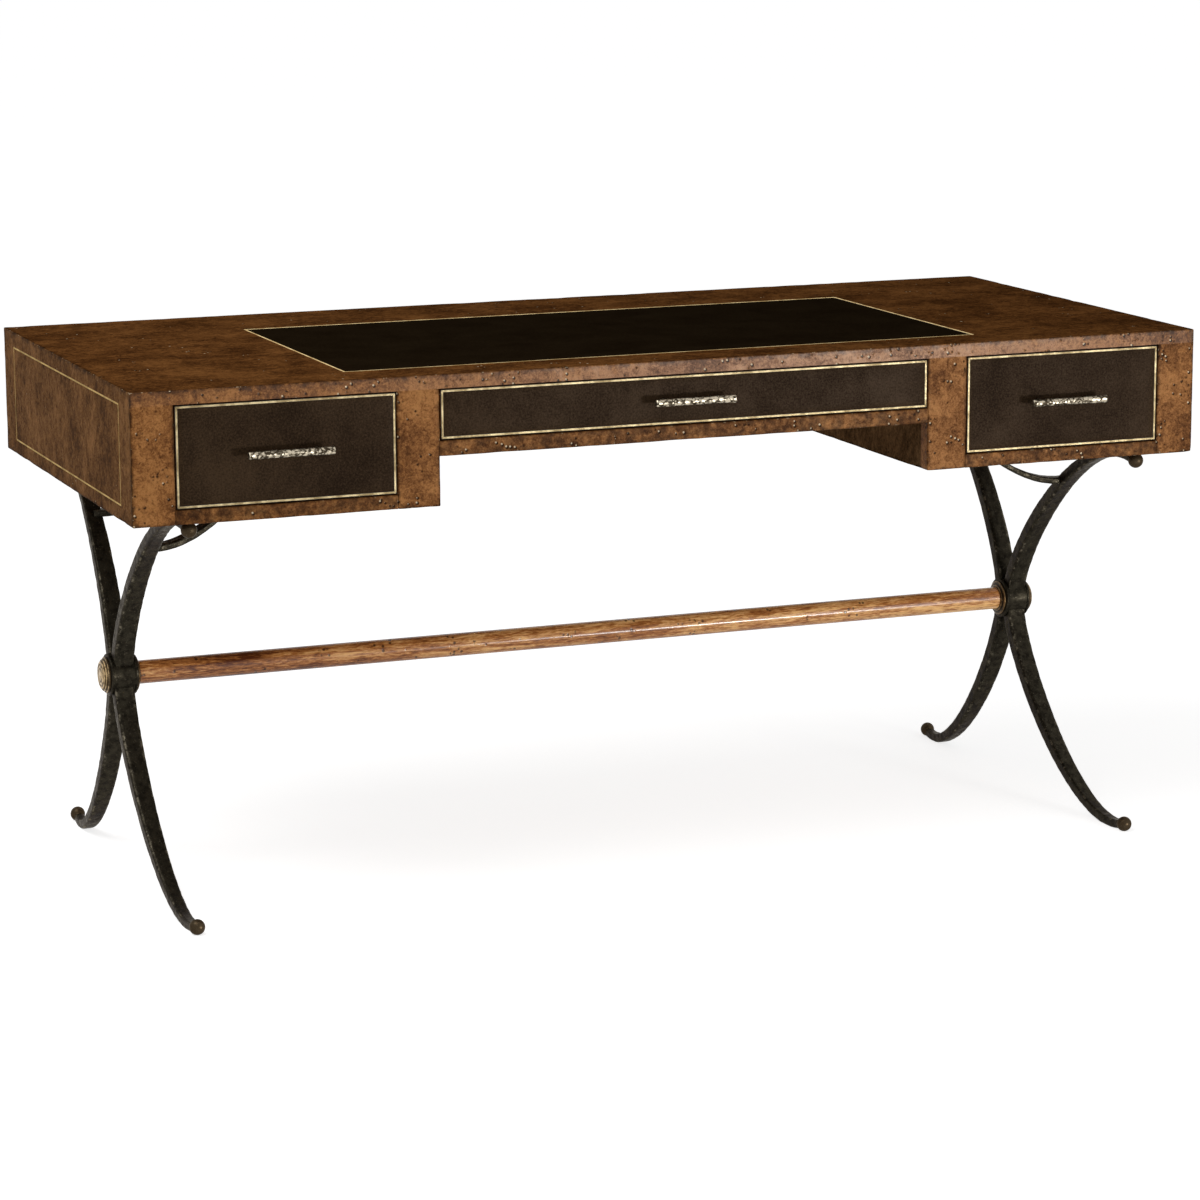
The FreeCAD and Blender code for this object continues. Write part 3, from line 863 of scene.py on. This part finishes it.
def point_on(axis, along, up, face):
    """A point on a plane: x planes run along Y and Z, y planes along X and Z, z planes along X and Y."""
    return Vector({"x": (face, along, up), "y": (along, face, up), "z": (along, up, face)}[axis])


def mitred_frame(bm, axis, low, high, width, face, depth, ease, finish):
    """Four mitred strips round a rectangle, from the face back by depth."""
    outer = [(low[0], low[1]), (high[0], low[1]), (high[0], high[1]), (low[0], high[1])]
    inner = [(low[0] + width, low[1] + width), (high[0] - width, low[1] + width),
             (high[0] - width, high[1] - width), (low[0] + width, high[1] - width)]
    for i in range(4):
        after = (i + 1) % 4
        corners = [outer[i], outer[after], inner[after], inner[i]]
        strip = bm.faces.new([bm.verts.new(point_on(axis, along, up, face)) for along, up in corners])
        strip.material_index = finish
        grown = new_verts(bmesh.ops.extrude_face_region(bm, geom=[strip]))
        bmesh.ops.translate(bm, vec=AXES[axis] * depth, verts=grown)
        round_edges(bm, strip.edges[:], ease, segments=2)
    bmesh.ops.recalc_face_normals(bm, faces=bm.faces[:])


def brass_frame(bm, axis, low, high, width, face, depth):
    """A brass strip round a rectangle, with dark mastic on both of its sides that also paints the shadow
    line beside the brass.
    """
    brass = bpy.context.scene.desk_brass
    low, high = Vector(low), Vector(high)
    sunk = math.copysign(brass.mastic_drop, depth)
    mitred_frame(bm, axis, low, high, width, face + sunk, depth - sunk, brass.strip_ease,
                 MASTIC_AND_SHADE_FINISH)
    gap = Vector((brass.dark_line, brass.dark_line))
    bare = width - 2 * brass.dark_line
    mitred_frame(bm, axis, low + gap, high - gap, bare, face, depth, brass.strip_ease, MAIN_FINISH)


def turned(profile, centre, steps):
    """A piece turned about X from a profile of (place along X, radius, groove) with its ends on the axis."""
    bm = bmesh.new()
    groove = layer(bm, "groove")
    verts = []
    for x, radius, depth in profile:
        verts.append(bm.verts.new(centre + Vector((x, 0, radius))))
        verts[-1][groove] = depth
    edges = [bm.edges.new(pair) for pair in zip(verts, verts[1:])]
    bmesh.ops.spin(bm, geom=verts + edges, cent=centre, axis=AXES["x"], angle=2 * math.pi, steps=steps,
                   use_merge=True)
    bmesh.ops.remove_doubles(bm, verts=bm.verts[:], dist=WELD_DISTANCE)
    bmesh.ops.recalc_face_normals(bm, faces=bm.faces[:])
    smooth(bm)
    return bm


def sharpen(piece, kind):
    piece.data.set_sharp_from_angle(angle=math.radians(SHARP_ANGLES[kind]))


# The case


PLAIN_BOARDS = ("pedestal_floor_left", "pedestal_floor_right", "centre_floor")
ALL_SIDES = ("+x", "-x", "+y", "-y", "+z", "-z")
FLOOR_COARSENESS = 4
FRONT_COARSENESS = 2
BOX_COARSENESS = 3


def veneered_boards():
    """The case's boards, as (node, cut of veneer, other cuts by axis, exposed sides)."""
    yield "desk_top", "top", {"y": "edge", "x": "end"}, ("+x", "-x", "+y", "-y", "+z")
    for name in DRAWERS:
        yield "front_rail_" + name, "front", {}, ("-y", "-z", "+z")
    for stile, other_cuts in (("outer_stile_", {"x": "end"}), ("inner_stile_", {})):
        for name, _ in SIDES:
            yield stile + name, "front", other_cuts, ("-x", "+x", "-y", "-z")
    for name, outer in (("left", "-x"), ("right", "+x")):
        yield "end_panel_" + name, "end", {}, (outer, "+y", "-z")
    for name in DRAWERS:
        yield "back_panel_" + name, "end", {}, ("+y", "-z")
    for name, inner in (("left", "+x"), ("right", "-x")):
        yield "kneehole_side_" + name, "inside", {}, (inner, "-z")


def case_line_places():
    """The rectangles of brass line in the ends and back, as (node, side, low, high)."""
    brass = bpy.context.scene.desk_brass
    top_low, top_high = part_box("desk_top")
    upper = top_low.z - brass.top_margin
    for name, side in SIDES:
        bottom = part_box("end_panel_" + name)[0].z + brass.bottom_margin
        yield ("end_panel_" + name, "+x" if side > 0 else "-x",
               (top_low.y + brass.side_margin, bottom), (top_high.y - brass.side_margin, upper))
        opening_low, opening_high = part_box("front_rail_" + name)
        yield ("back_panel_" + name, "+y", (opening_low.x, bottom), (opening_high.x, upper))
    low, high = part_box("back_panel_centre")
    yield ("back_panel_centre", "+y", (low.x + brass.bottom_margin, low.z + brass.bottom_margin),
           (high.x - brass.bottom_margin, upper))


class DESK_OT_case(bpy.types.Operator):
    """Veneered boards of the case, with worn arrises"""
    bl_idname = "desk.case"
    bl_label = "Veneered case"

    def execute(self, context):
        case = context.scene.desk_case
        brass = context.scene.desk_brass
        lines = {node: line for node, *line in case_line_places()}
        for node, cut, other_cuts, exposed in veneered_boards():
            low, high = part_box(node)
            bm = board(low, high, exposed, case.arris_rounding)
            for place, axis in enumerate(other_cuts, SIDE_FINISHES):
                for face in bm.faces:
                    if side_of(face)[1] == axis:
                        face.material_index = place
            sunk = []
            if node in lines:
                side, line_low, line_high = lines[node]
                sunk = sink(bm, side, line_low, line_high, brass.case_depth, brass.case_width)
            if node == "desk_top":
                line_low, line_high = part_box("top_inlay")
                sunk = sink(bm, "+z", line_low.xy, line_high.xy, line_high.z - line_low.z)
            # The sunk faces take the mastic, which also paints the shadow line beside the brass.
            for face in sunk:
                face.material_index = MASTIC_AND_SHADE_FINISH
            keep_piece(bm, node + "_veneer", node, "burl_veneer", veneer(cut), dark_mastic(),
                       *map(veneer, other_cuts.values()))
        for node in PLAIN_BOARDS:
            low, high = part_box(node)
            bm = board(low, high, ("-z",), case.arris_rounding, FLOOR_COARSENESS)
            keep_piece(bm, node + "_planed", node, "drawer_wood", plain_wood())
        return {"FINISHED"}


class DESK_OT_lines(bpy.types.Operator):
    """Mitred brass lines let into the ends, the back and the top"""
    bl_idname = "desk.brass_lines"
    bl_label = "Brass lines"

    def execute(self, context):
        brass = context.scene.desk_brass
        bm = bmesh.new()
        for node, side, line_low, line_high in case_line_places():
            low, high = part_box(node)
            index, outward = heading_of(side)
            face = (high if outward > 0 else low)[index] - outward * brass.sunk
            brass_frame(bm, side[1], line_low, line_high, brass.case_width, face,
                        -outward * (brass.case_depth - brass.sunk))
        keep_piece(bm, "case_inlays_strips", "case_inlays", "brass_line", brass_strip("case"),
                   dark_mastic())
        low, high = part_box("top_inlay")
        bm = bmesh.new()
        brass_frame(bm, "z", low.xy, high.xy, brass.front_width, high.z, low.z - high.z)
        keep_piece(bm, "top_inlay_strips", "top_inlay", "brass_line", brass_strip("top"), dark_mastic())
        return {"FINISHED"}


# Leather and drawers


HIDE_FACE = 0.99
RIM_ROUNDING = 0.3
DENT_REACH = 0.62
GROOVE_REACH = 0.22
FLARE_START = 0.75


def hide_panel(node, side):
    """A panel of hide: its face a little sunk and rippled, its outer edge turned over."""
    hide = bpy.context.scene.desk_leather
    low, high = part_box(node)
    index, outward = heading_of(side)
    (high if outward > 0 else low)[index] -= outward * hide.drop
    bm = block(low, high)
    bm.normal_update()
    rim = [edge for edge in bm.edges if any(side_of(face) == side for face in edge.link_faces)]
    round_edges(bm, rim, hide.edge_rounding, segments=3)
    for i, axis in enumerate("xyz"):
        if high[i] - low[i] > FEWEST_CELLS * hide.grid_step:
            cut_across(bm, axis, even_places(low[i], high[i], hide.grid_step))
    normal = AXES[side[1]] * outward
    bm.normal_update()
    for vert in bm.verts:
        if vert.normal.dot(normal) > HIDE_FACE:
            ripple = uneven(vert.co, coarse=14, fine=45, fine_share=0.5)
            vert.co -= normal * hide.ripple * (1 + ripple)
    smooth(bm)
    return bm


class DESK_OT_writing_hide(bpy.types.Operator):
    """The dark hide of the writing surface"""
    bl_idname = "desk.writing_hide"
    bl_label = "Writing hide"

    def execute(self, context):
        piece = keep_piece(hide_panel("top_leather", "+z"), "top_leather_hide", "top_leather", "leather",
                           leather("top"))
        sharpen(piece, "hide")
        return {"FINISHED"}


class DESK_OT_drawer_fronts(bpy.types.Operator):
    """Drawer fronts: a veneered core, a hide face and a mitred brass edge"""
    bl_idname = "desk.drawer_fronts"
    bl_label = "Drawer fronts"

    def execute(self, context):
        case = context.scene.desk_case
        brass = context.scene.desk_brass
        for name in DRAWERS:
            node = "drawer_front_" + name
            low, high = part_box(node)
            bm = board(low, high, ("+x", "-x", "+z", "-z", "+y"), case.inner_rounding, FRONT_COARSENESS)
            keep_piece(bm, node + "_veneer", node, "burl_veneer", veneer("front"))
            node = "drawer_leather_" + name
            piece = keep_piece(hide_panel(node, "-y"), node + "_hide", node, "leather", leather("drawer"))
            sharpen(piece, "hide")
            node = "drawer_line_" + name
            low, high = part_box(node)
            bm = bmesh.new()
            brass_frame(bm, "y", (low.x, low.z), (high.x, high.z), brass.front_width, low.y, high.y - low.y)
            keep_piece(bm, node + "_strips", node, "brass_line", brass_strip("front"), dark_mastic())
        return {"FINISHED"}


class DESK_OT_drawer_boxes(bpy.types.Operator):
    """Planed boards of the drawer boxes"""
    bl_idname = "desk.drawer_boxes"
    bl_label = "Drawer boxes"

    def execute(self, context):
        case = context.scene.desk_case
        for name in DRAWERS:
            node = "drawer_sides_" + name
            low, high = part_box(node)
            inner = Vector((low.x + case.drawer_side, high.y, high.z))
            bm = board(low, inner, ALL_SIDES, case.inner_rounding, BOX_COARSENESS)
            second = new_verts(bmesh.ops.duplicate(bm, geom=bm.verts[:] + bm.edges[:] + bm.faces[:]))
            bmesh.ops.translate(bm, vec=AXES["x"] * (high.x - inner.x), verts=second)
            keep_piece(bm, node + "_planed", node, "drawer_wood", plain_wood())
            for part in ("drawer_back_", "drawer_bottom_"):
                low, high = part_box(part + name)
                bm = board(low, high, ALL_SIDES, case.inner_rounding, BOX_COARSENESS)
                keep_piece(bm, part + name + "_planed", part + name, "drawer_wood", plain_wood())
        return {"FINISHED"}


class DESK_OT_handles(bpy.types.Operator):
    """Hammered bar handles on two posts"""
    bl_idname = "desk.handles"
    bl_label = "Handles"

    def execute(self, context):
        for name in DRAWERS:
            node = "handle_" + name
            piece = keep_piece(self.handle(node, context.scene.desk_handle), node + "_hammered", node,
                               "handle_metal", hammered_metal())
            sharpen(piece, "handle")
        return {"FINISHED"}

    def handle(self, node, handle):
        low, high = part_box(node)
        radius = (high.z - low.z) / 2
        axis = Vector(((low.x + high.x) / 2, low.y + radius, (low.z + high.z) / 2))
        bm = bmesh.new()
        groove = layer(bm, "groove")
        along_x = Matrix.Rotation(math.pi / 2, 4, "Y")
        bmesh.ops.create_cone(bm, cap_ends=True, segments=handle.around, radius1=radius, radius2=radius,
                              depth=high.x - low.x, matrix=Matrix.Translation(axis) @ along_x)
        rims = [edge for edge in bm.edges if abs(edge.verts[0].co.x - edge.verts[1].co.x) < WELD_DISTANCE]
        round_edges(bm, rims, radius * RIM_ROUNDING, segments=2)
        cut_across(bm, "x", even_places(low.x, high.x, handle.ring_step))
        for vert in bm.verts:
            place = vert.co / handle.dent_size
            near, next_near = noise.voronoi(place)[0][:2]
            out = Vector((0, vert.co.y - axis.y, vert.co.z - axis.z))
            dent = max(0, 1 - (near / DENT_REACH) ** 2)
            along = (vert.co.x - low.x) / (high.x - low.x)
            spread = handle.swell + handle.flare * max(0, along - FLARE_START) / (1 - FLARE_START)
            vert.co += out / radius * (spread - handle.dent_depth * dent)
            vert[groove] = max(0, 1 - (next_near - near) / GROOVE_REACH)
        along_y = Matrix.Rotation(math.pi / 2, 4, "X")
        post = handle.post_diameter / 2
        for _, side in SIDES:
            foot = Vector((axis.x + side * handle.post_spacing / 2, (axis.y + high.y) / 2, axis.z))
            made = bmesh.ops.create_cone(bm, cap_ends=True, segments=handle.around, radius1=post,
                                         radius2=post, depth=high.y - axis.y,
                                         matrix=Matrix.Translation(foot) @ along_y)
            # The posts take the full groove value, which makes them dark all over.
            for vert in made["verts"]:
                vert[groove] = 1
        smooth(bm)
        return bm


# Forged iron


def bezier(poles, place):
    """A point on a cubic curve."""
    a, b, c, d = poles
    rest = 1 - place
    return a * rest ** 3 + b * 3 * rest ** 2 * place + c * 3 * rest * place ** 2 + d * place ** 3


def bezier_heading(poles, place):
    a, b, c, d = poles
    rest = 1 - place
    return ((b - a) * rest ** 2 + (c - b) * 2 * rest * place + (d - c) * place ** 2).normalized()


def half_bow(node, facing, rising):
    """Poles of a bow's centre line from the hub to a ball."""
    settings = bpy.context.scene.desk_iron
    low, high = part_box(node)
    hub_low, hub_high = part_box("hub_clasp_left")
    top_low, top_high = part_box("desk_top")
    hub_middle = (hub_low + hub_high) / 2
    x = (low.x + high.x) / 2
    hub = Vector((x, hub_middle.y + facing * settings.bar_depth / 2, hub_middle.z))
    lift = settings.ball_radius - settings.ball_flat
    inset = settings.arm_inset if rising > 0 else settings.foot_inset
    tip_y = (top_high.y - inset) if facing > 0 else (top_low.y + inset)
    tip = Vector((x, tip_y, high.z - lift if rising > 0 else low.z + lift))
    turn = settings.front_tip_angle if facing < 0 else settings.back_tip_angle
    heading = Vector((0, facing * math.cos(turn), -rising * math.sin(turn)))
    hub_handle = Vector((0, 0, rising * abs(tip.z - hub.z) * settings.hub_handle_share))
    tip_handle = heading * abs(tip.y - hub.y) * settings.tip_handle_share
    return hub, hub + hub_handle, tip - tip_handle, tip


# One ring of a forged bar: its middle, its two directions, their half sizes, how square it is and,
# for the rings of a ball, 1
Station = namedtuple("Station", "middle across deep half_width half_depth square ball", defaults=(0,))

HUB_SQUARE = 8.0
TIP_SQUARE = 4.0
STRAP_SQUARE = 7.0
BALL_SQUARE = 2.0
MARK_REACH = 0.6
SCALE_FINENESS = 160
SCALE_SHARE = 0.4
BALL_SMOOTHING = 0.7
CORNER_START = 0.90
CORNER_FADE = 4
HOLLOW_SHELTER = 0.25


def forge(stations, lowest, highest):
    """Draws a hammered bar through its stations, held between two heights."""
    settings = bpy.context.scene.desk_iron
    bm = bmesh.new()
    turn = layer(bm, "turn")
    wear = layer(bm, "wear")
    ball = layer(bm, "ball")
    ring = bmesh.ops.create_circle(bm, segments=settings.around, radius=1)["verts"]
    for vert in ring:
        vert[turn] = math.atan2(vert.co.y, vert.co.x)
    edges = bm.edges[:]

    def settle(ring, station):
        for vert in ring:
            c, s = math.cos(vert[turn]), math.sin(vert[turn])
            reach = (abs(c) ** station.square + abs(s) ** station.square) ** (-1 / station.square)
            wide, deep = c * reach, s * reach
            offset = station.across * wide * station.half_width + station.deep * deep * station.half_depth
            place = station.middle + offset
            near = noise.voronoi(place / settings.dent_size)[0][0]
            dent = max(0, 1 - (near / MARK_REACH) ** 2)
            dent += SCALE_SHARE * noise.noise(place * SCALE_FINENESS)
            depth = settings.dent_depth * dent * (1 - BALL_SMOOTHING * station.ball)
            vert.co = place - offset.normalized() * depth
            vert.co.z = min(max(vert.co.z, lowest), highest)
            corner = min(1, min(abs(wide), abs(deep)) / CORNER_START) ** CORNER_FADE
            vert[wear] = 0 if station.ball else max(0, corner - HOLLOW_SHELTER * max(0, dent))
            vert[ball] = station.ball

    settle(ring, stations[0])
    first = list(ring)
    for station in stations[1:]:
        grown = bmesh.ops.extrude_edge_only(bm, edges=edges)
        ring = new_verts(grown)
        fresh = set(ring)
        edges = [item for item in grown["geom"] if isinstance(item, bmesh.types.BMEdge)
                 and fresh.issuperset(item.verts)]
        settle(ring, station)
    for end in (first, ring):
        bmesh.ops.contextual_create(bm, geom=end)
    bmesh.ops.recalc_face_normals(bm, faces=bm.faces[:])
    smooth(bm)
    return bm


def half_bow_stations(node, facing, rising):
    """Rings from the hub to the end of a ball."""
    settings = bpy.context.scene.desk_iron
    low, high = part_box(node)
    poles = half_bow(node, facing, rising)
    bar_half = (high.x - low.x) / 2
    radius = settings.ball_radius
    across = AXES["x"]
    stations = []
    neck = math.sqrt(radius ** 2 - (settings.tip_depth / 2) ** 2)
    for i in range(settings.half_steps + 1):
        place = i / settings.half_steps
        middle = bezier(poles, place)
        if (poles[3] - middle).length < neck:
            break
        heading = bezier_heading(poles, place) * rising
        taper = place * place
        half_width = bar_half + (settings.tip_width / 2 - bar_half) * taper
        half_depth = (settings.bar_depth + (settings.tip_depth - settings.bar_depth) * taper) / 2
        square = HUB_SQUARE + (TIP_SQUARE - HUB_SQUARE) * taper
        stations.append(Station(middle, across, heading.cross(across), half_width, half_depth, square))
    along = bezier_heading(poles, 1)
    deep = (along * rising).cross(across)
    opening = math.asin(settings.tip_depth / 2 / radius)
    for i in range(settings.ball_steps):
        spread = opening + (math.pi - opening) * (i + 0.5) / settings.ball_steps
        ring = radius * math.sin(spread)
        middle = poles[3] - along * radius * math.cos(spread)
        stations.append(Station(middle, across, deep, ring, ring, BALL_SQUARE, ball=1))
    return stations


class DESK_OT_bows(bpy.types.Operator):
    """Hammered iron bows with a ball at each end"""
    bl_idname = "desk.bows"
    bl_label = "Iron bows"

    def execute(self, context):
        for name, _ in SIDES:
            for facing_name, facing in FACINGS:
                node = "bow_%s_%s" % (facing_name, name)
                low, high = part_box(node)
                leg = half_bow_stations(node, facing, -1)
                arm = half_bow_stations(node, facing, 1)
                bm = forge(leg[::-1] + arm[1:], low.z, high.z)
                keep_piece(bm, node + "_forged", node, "wrought_iron", iron("bar"))
        return {"FINISHED"}


class DESK_OT_brackets(bpy.types.Operator):
    """Curled iron straps between the arms and the case"""
    bl_idname = "desk.brackets"
    bl_label = "Scroll straps"
    lower_shares = ((0.0, 0.0), (0.36, -0.05), (0.64, 0.34), (1.0, 1.0))
    upper_shares = ((0.0, 0.14), (0.32, 0.06), (0.62, 0.44), (0.95, 1.0))

    def execute(self, context):
        settings = context.scene.desk_iron
        for name, side in SIDES:
            node = "scroll_brackets_" + name
            bm = bmesh.new()
            for facing_name, facing in FACINGS:
                strap = self.strap("bow_%s_%s" % (facing_name, name), facing, side, settings)
                mesh = mesh_of(strap, "strap")
                bm.from_mesh(mesh)
                bpy.data.meshes.remove(mesh)
            keep_piece(bm, node + "_forged", node, "wrought_iron", iron("bar"))
        return {"FINISHED"}

    def strap(self, bow, facing, side, settings):
        case_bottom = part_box(bow)[1].z
        arm = half_bow(bow, facing, 1)
        start_z = case_bottom - settings.strap_drop
        points = [bezier(arm, i / settings.half_steps) for i in range(settings.half_steps + 1)]
        root = min(points, key=lambda point: abs(point.z - start_z))
        root.z = start_z
        turn = settings.strap_angle
        inward = Vector((-side * math.cos(turn), -facing * math.sin(turn), 0))
        across = AXES["z"].cross(inward)

        def poles(shares):
            return [root + inward * settings.strap_reach * run + AXES["z"] * settings.strap_drop * rise
                    for run, rise in shares]

        lower, upper = poles(self.lower_shares), poles(self.upper_shares)
        stations = []
        steps = settings.half_steps // 2
        for i in range(steps + 1):
            place = i / steps
            under, over = bezier(lower, place), bezier(upper, place)
            stations.append(Station((under + over) / 2, across, (over - under).normalized(),
                                    settings.strap_width / 2, (over - under).length / 2, STRAP_SQUARE))
        return forge(stations, 0, case_bottom)


# Hubs and stretcher


class DESK_OT_hubs(bpy.types.Operator):
    """Iron drums at the crossings, with brass finials outside and collars inside"""
    bl_idname = "desk.hubs"
    bl_label = "Hubs"
    # Profiles as (share of the length, share of the radius, groove)
    drum = ((0.0, 0.0, 0), (0.0, 0.93, 0), (0.012, 0.98, 0), (0.035, 1.0, 0), (0.085, 1.0, 0),
            (0.105, 0.985, 0), (0.115, 0.952, 0), (0.16, 0.940, 0), (0.5, 0.946, 0))
    finial = ((0.0, 0.0, 1), (0.0, 0.97, 1), (0.06, 1.0, 1), (0.26, 1.0, 0.9), (0.33, 0.965, 0.2),
              (0.36, 0.905, 1), (0.40, 0.885, 1), (0.58, 0.885, 0.4), (0.64, 0.86, 0), (0.66, 0.80, 1),
              (0.70, 0.785, 1), (0.82, 0.765, 0.2), (0.88, 0.70, 0), (0.84, 0.64, 0.4), (0.80, 0.60, 1),
              (0.84, 0.55, 0.4), (0.93, 0.50, 0), (0.92, 0.42, 0.3), (0.88, 0.37, 1), (0.92, 0.32, 0.3),
              (0.98, 0.20, 0), (1.0, 0.0, 0))
    collar = ((0.0, 0.0, 1), (0.0, 0.97, 1), (0.08, 1.0, 0.8), (0.40, 1.0, 0.1), (0.50, 0.96, 0.3),
              (0.54, 0.84, 1), (0.60, 0.79, 1), (0.82, 0.785, 0.3), (0.94, 0.74, 0.2), (1.0, 0.66, 0.8),
              (1.0, 0.0, 1))

    def execute(self, context):
        for name, side in SIDES:
            far_half = [(1 - run, out, groove) for run, out, groove in self.drum[-2::-1]]
            self.turn("hub_clasp_" + name, "_drum", [*self.drum, *far_half], 1, "wrought_iron", iron("drum"))
            self.turn("finial_" + name, "_turned", self.finial, side, "aged_brass", turned_brass("finial"))
            self.turn("stretcher_collar_" + name, "_turned", self.collar, -side, "aged_brass",
                      turned_brass("collar"))
        return {"FINISHED"}

    def turn(self, node, ending, profile, outward, slot, finish):
        low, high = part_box(node)
        reach = high.x - low.x
        radius = (high.z - low.z) / 2
        centre = Vector((low.x if outward > 0 else high.x, (low.y + high.y) / 2, (low.z + high.z) / 2))
        scaled = [(outward * run * reach, out * radius, groove) for run, out, groove in profile]
        bm = turned(scaled, centre, bpy.context.scene.desk_brass.turning_steps)
        sharpen(keep_piece(bm, node + ending, node, slot, finish), "turning")


class DESK_OT_stretcher(bpy.types.Operator):
    """The turned wooden stretcher"""
    bl_idname = "desk.stretcher"
    bl_label = "Stretcher"
    waviness = 9

    def execute(self, context):
        rail = context.scene.desk_stretcher
        low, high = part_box("stretcher")
        radius = (high.z - low.z) / 2
        centre = Vector((low.x, (low.y + high.y) / 2, (low.z + high.z) / 2))
        reach = high.x - low.x
        profile = [(0, 0, 0)]
        for i in range(rail.steps + 1):
            x = reach * i / rail.steps
            wave = noise.noise(AXES["x"] * x * self.waviness)
            profile.append((x, radius - rail.unevenness * (1 + wave) / 2, 0))
        profile.append((reach, 0, 0))
        bm = turned(profile, centre, rail.around)
        piece = keep_piece(bm, "stretcher_turned", "stretcher", "stretcher_wood", turned_wood())
        sharpen(piece, "stretcher")
        return {"FINISHED"}


class DESK_OT_fittings(bpy.types.Operator):
    """Finishes for the fittings that keep their plain solids"""
    bl_idname = "desk.fittings"
    bl_label = "Inner fittings"

    def execute(self, context):
        for node, finish in (("drawer_guides", plain_wood()), ("drawer_stops", plain_wood()),
                             ("arm_screws", plain_steel()), ("tie_rod", plain_steel())):
            for slot in frame["nodes"][node].material_slots:
                slot.material = finish
        return {"FINISHED"}


class DESK_OT_stage(bpy.types.Operator):
    """Pale floor, soft studio light and the camera"""
    bl_idname = "desk.stage"
    bl_label = "Stage"
    # Each lamp's aim, width and height
    lamps = {
        "key": ((0.1, 0, 0.62), 0.8, 0.38),
        "side": ((0.2, 0, 0.5), 0.5, 1.7),
        "top": ((-0.3, 0, 0.5), 2.4, 2.0),
    }

    def execute(self, context):
        stage = context.scene.desk_stage
        self.floor(stage)
        self.world(context.scene, stage)
        for name, (aim, width, height) in self.lamps.items():
            place = getattr(stage, name + "_place")
            self.lamp(name + "_light", place, aim, width, height, getattr(stage, name + "_power"))
        self.camera(context.scene, stage)
        context.scene.view_settings.view_transform = "Standard"
        return {"FINISHED"}

    def floor(self, stage):
        bm = bmesh.new()
        bmesh.ops.create_grid(bm, x_segments=1, y_segments=1, size=stage.floor_size)
        floor = stand("floor", mesh_of(bm, "floor"))
        finish = Finish("floor_paper")
        wire = finish.wire
        # Painted shade: the floor glows less near the desk's middle and reaches its full glow by far_reach.
        away = wire.add("VectorMath", {0: finish.place}, operation="LENGTH").outputs["Value"]
        glow = wire.ramp(away, between=(stage.near_reach, stage.far_reach),
                         to=(stage.shaded_near_glow, stage.far_glow))
        paper = finish.set(base_color=(stage.floor_white,) * 3, roughness=1.0, specular_ior_level=0.0,
                           emission_color=WHITE, emission_strength=wire.times(wire.seen(), glow))
        floor.data.materials.append(paper)

    def world(self, scene, stage):
        world = bpy.data.worlds.new("studio")
        scene.world = world
        world.use_nodes = True
        wire = Wiring(world.node_tree)
        background = world.node_tree.nodes["Background"].inputs
        wire.feed(background["Color"], WHITE)
        wire.feed(background["Strength"], wire.ramp(wire.seen(), to=(stage.ambient, 1.0)))

    def lamp(self, name, place, aim, width, height, power):
        data = bpy.data.lights.new(name, "AREA")
        data.shape = "RECTANGLE"
        data.size = width
        data.size_y = height
        data.energy = power
        turn = (Vector(aim) - Vector(place)).to_track_quat("-Z", "Y")
        stand(name, data).matrix_world = Matrix.LocRotScale(place, turn, None)

    def camera(self, scene, stage):
        turn, tilt, roll = stage.azimuth, stage.elevation, stage.roll
        back = Vector((math.sin(turn) * math.cos(tilt), -math.cos(turn) * math.cos(tilt), math.sin(tilt)))
        level = Vector((math.cos(turn), math.sin(turn), 0))
        above = back.cross(level)
        right = math.cos(roll) * level + math.sin(roll) * above
        up = math.cos(roll) * above - math.sin(roll) * level
        data = bpy.data.cameras.new("camera")
        data.lens = stage.lens
        scene.camera = stand("camera", data)
        pose = Matrix((right, up, back)).transposed().to_4x4()
        scene.camera.matrix_world = Matrix.Translation(stage.camera_place) @ pose


class DESK_PT_pieces(bpy.types.Panel):
    """Lists the desk's pieces in the sidebar"""
    bl_idname = "DESK_PT_pieces"
    bl_label = "Writing desk"
    bl_space_type = "VIEW_3D"
    bl_region_type = "UI"
    bl_category = "Desk"

    def draw(self, context):
        for operator in OPERATORS:
            self.layout.operator(operator.bl_idname)
        for name, group in SETTINGS.items():
            box = self.layout.box()
            for setting in group.__annotations__:
                box.prop(getattr(context.scene, name), setting)


OPERATORS = (DESK_OT_case, DESK_OT_lines, DESK_OT_writing_hide, DESK_OT_drawer_fronts,
             DESK_OT_drawer_boxes, DESK_OT_handles, DESK_OT_bows, DESK_OT_brackets, DESK_OT_hubs,
             DESK_OT_stretcher, DESK_OT_fittings, DESK_OT_stage)


def register():
    for group in (*SETTINGS.values(), *OPERATORS, DESK_PT_pieces):
        bpy.utils.register_class(group)
    for name, group in SETTINGS.items():
        setattr(bpy.types.Scene, name, PointerProperty(type=group))


def unregister():
    for name in SETTINGS:
        delattr(bpy.types.Scene, name)
    for group in (DESK_PT_pieces, *reversed(OPERATORS), *SETTINGS.values()):
        bpy.utils.unregister_class(group)


def main():
    register()
    for operator in OPERATORS:
        family, name = operator.bl_idname.split(".")
        getattr(getattr(bpy.ops, family), name)()


if __name__ == "__main__":
    main()
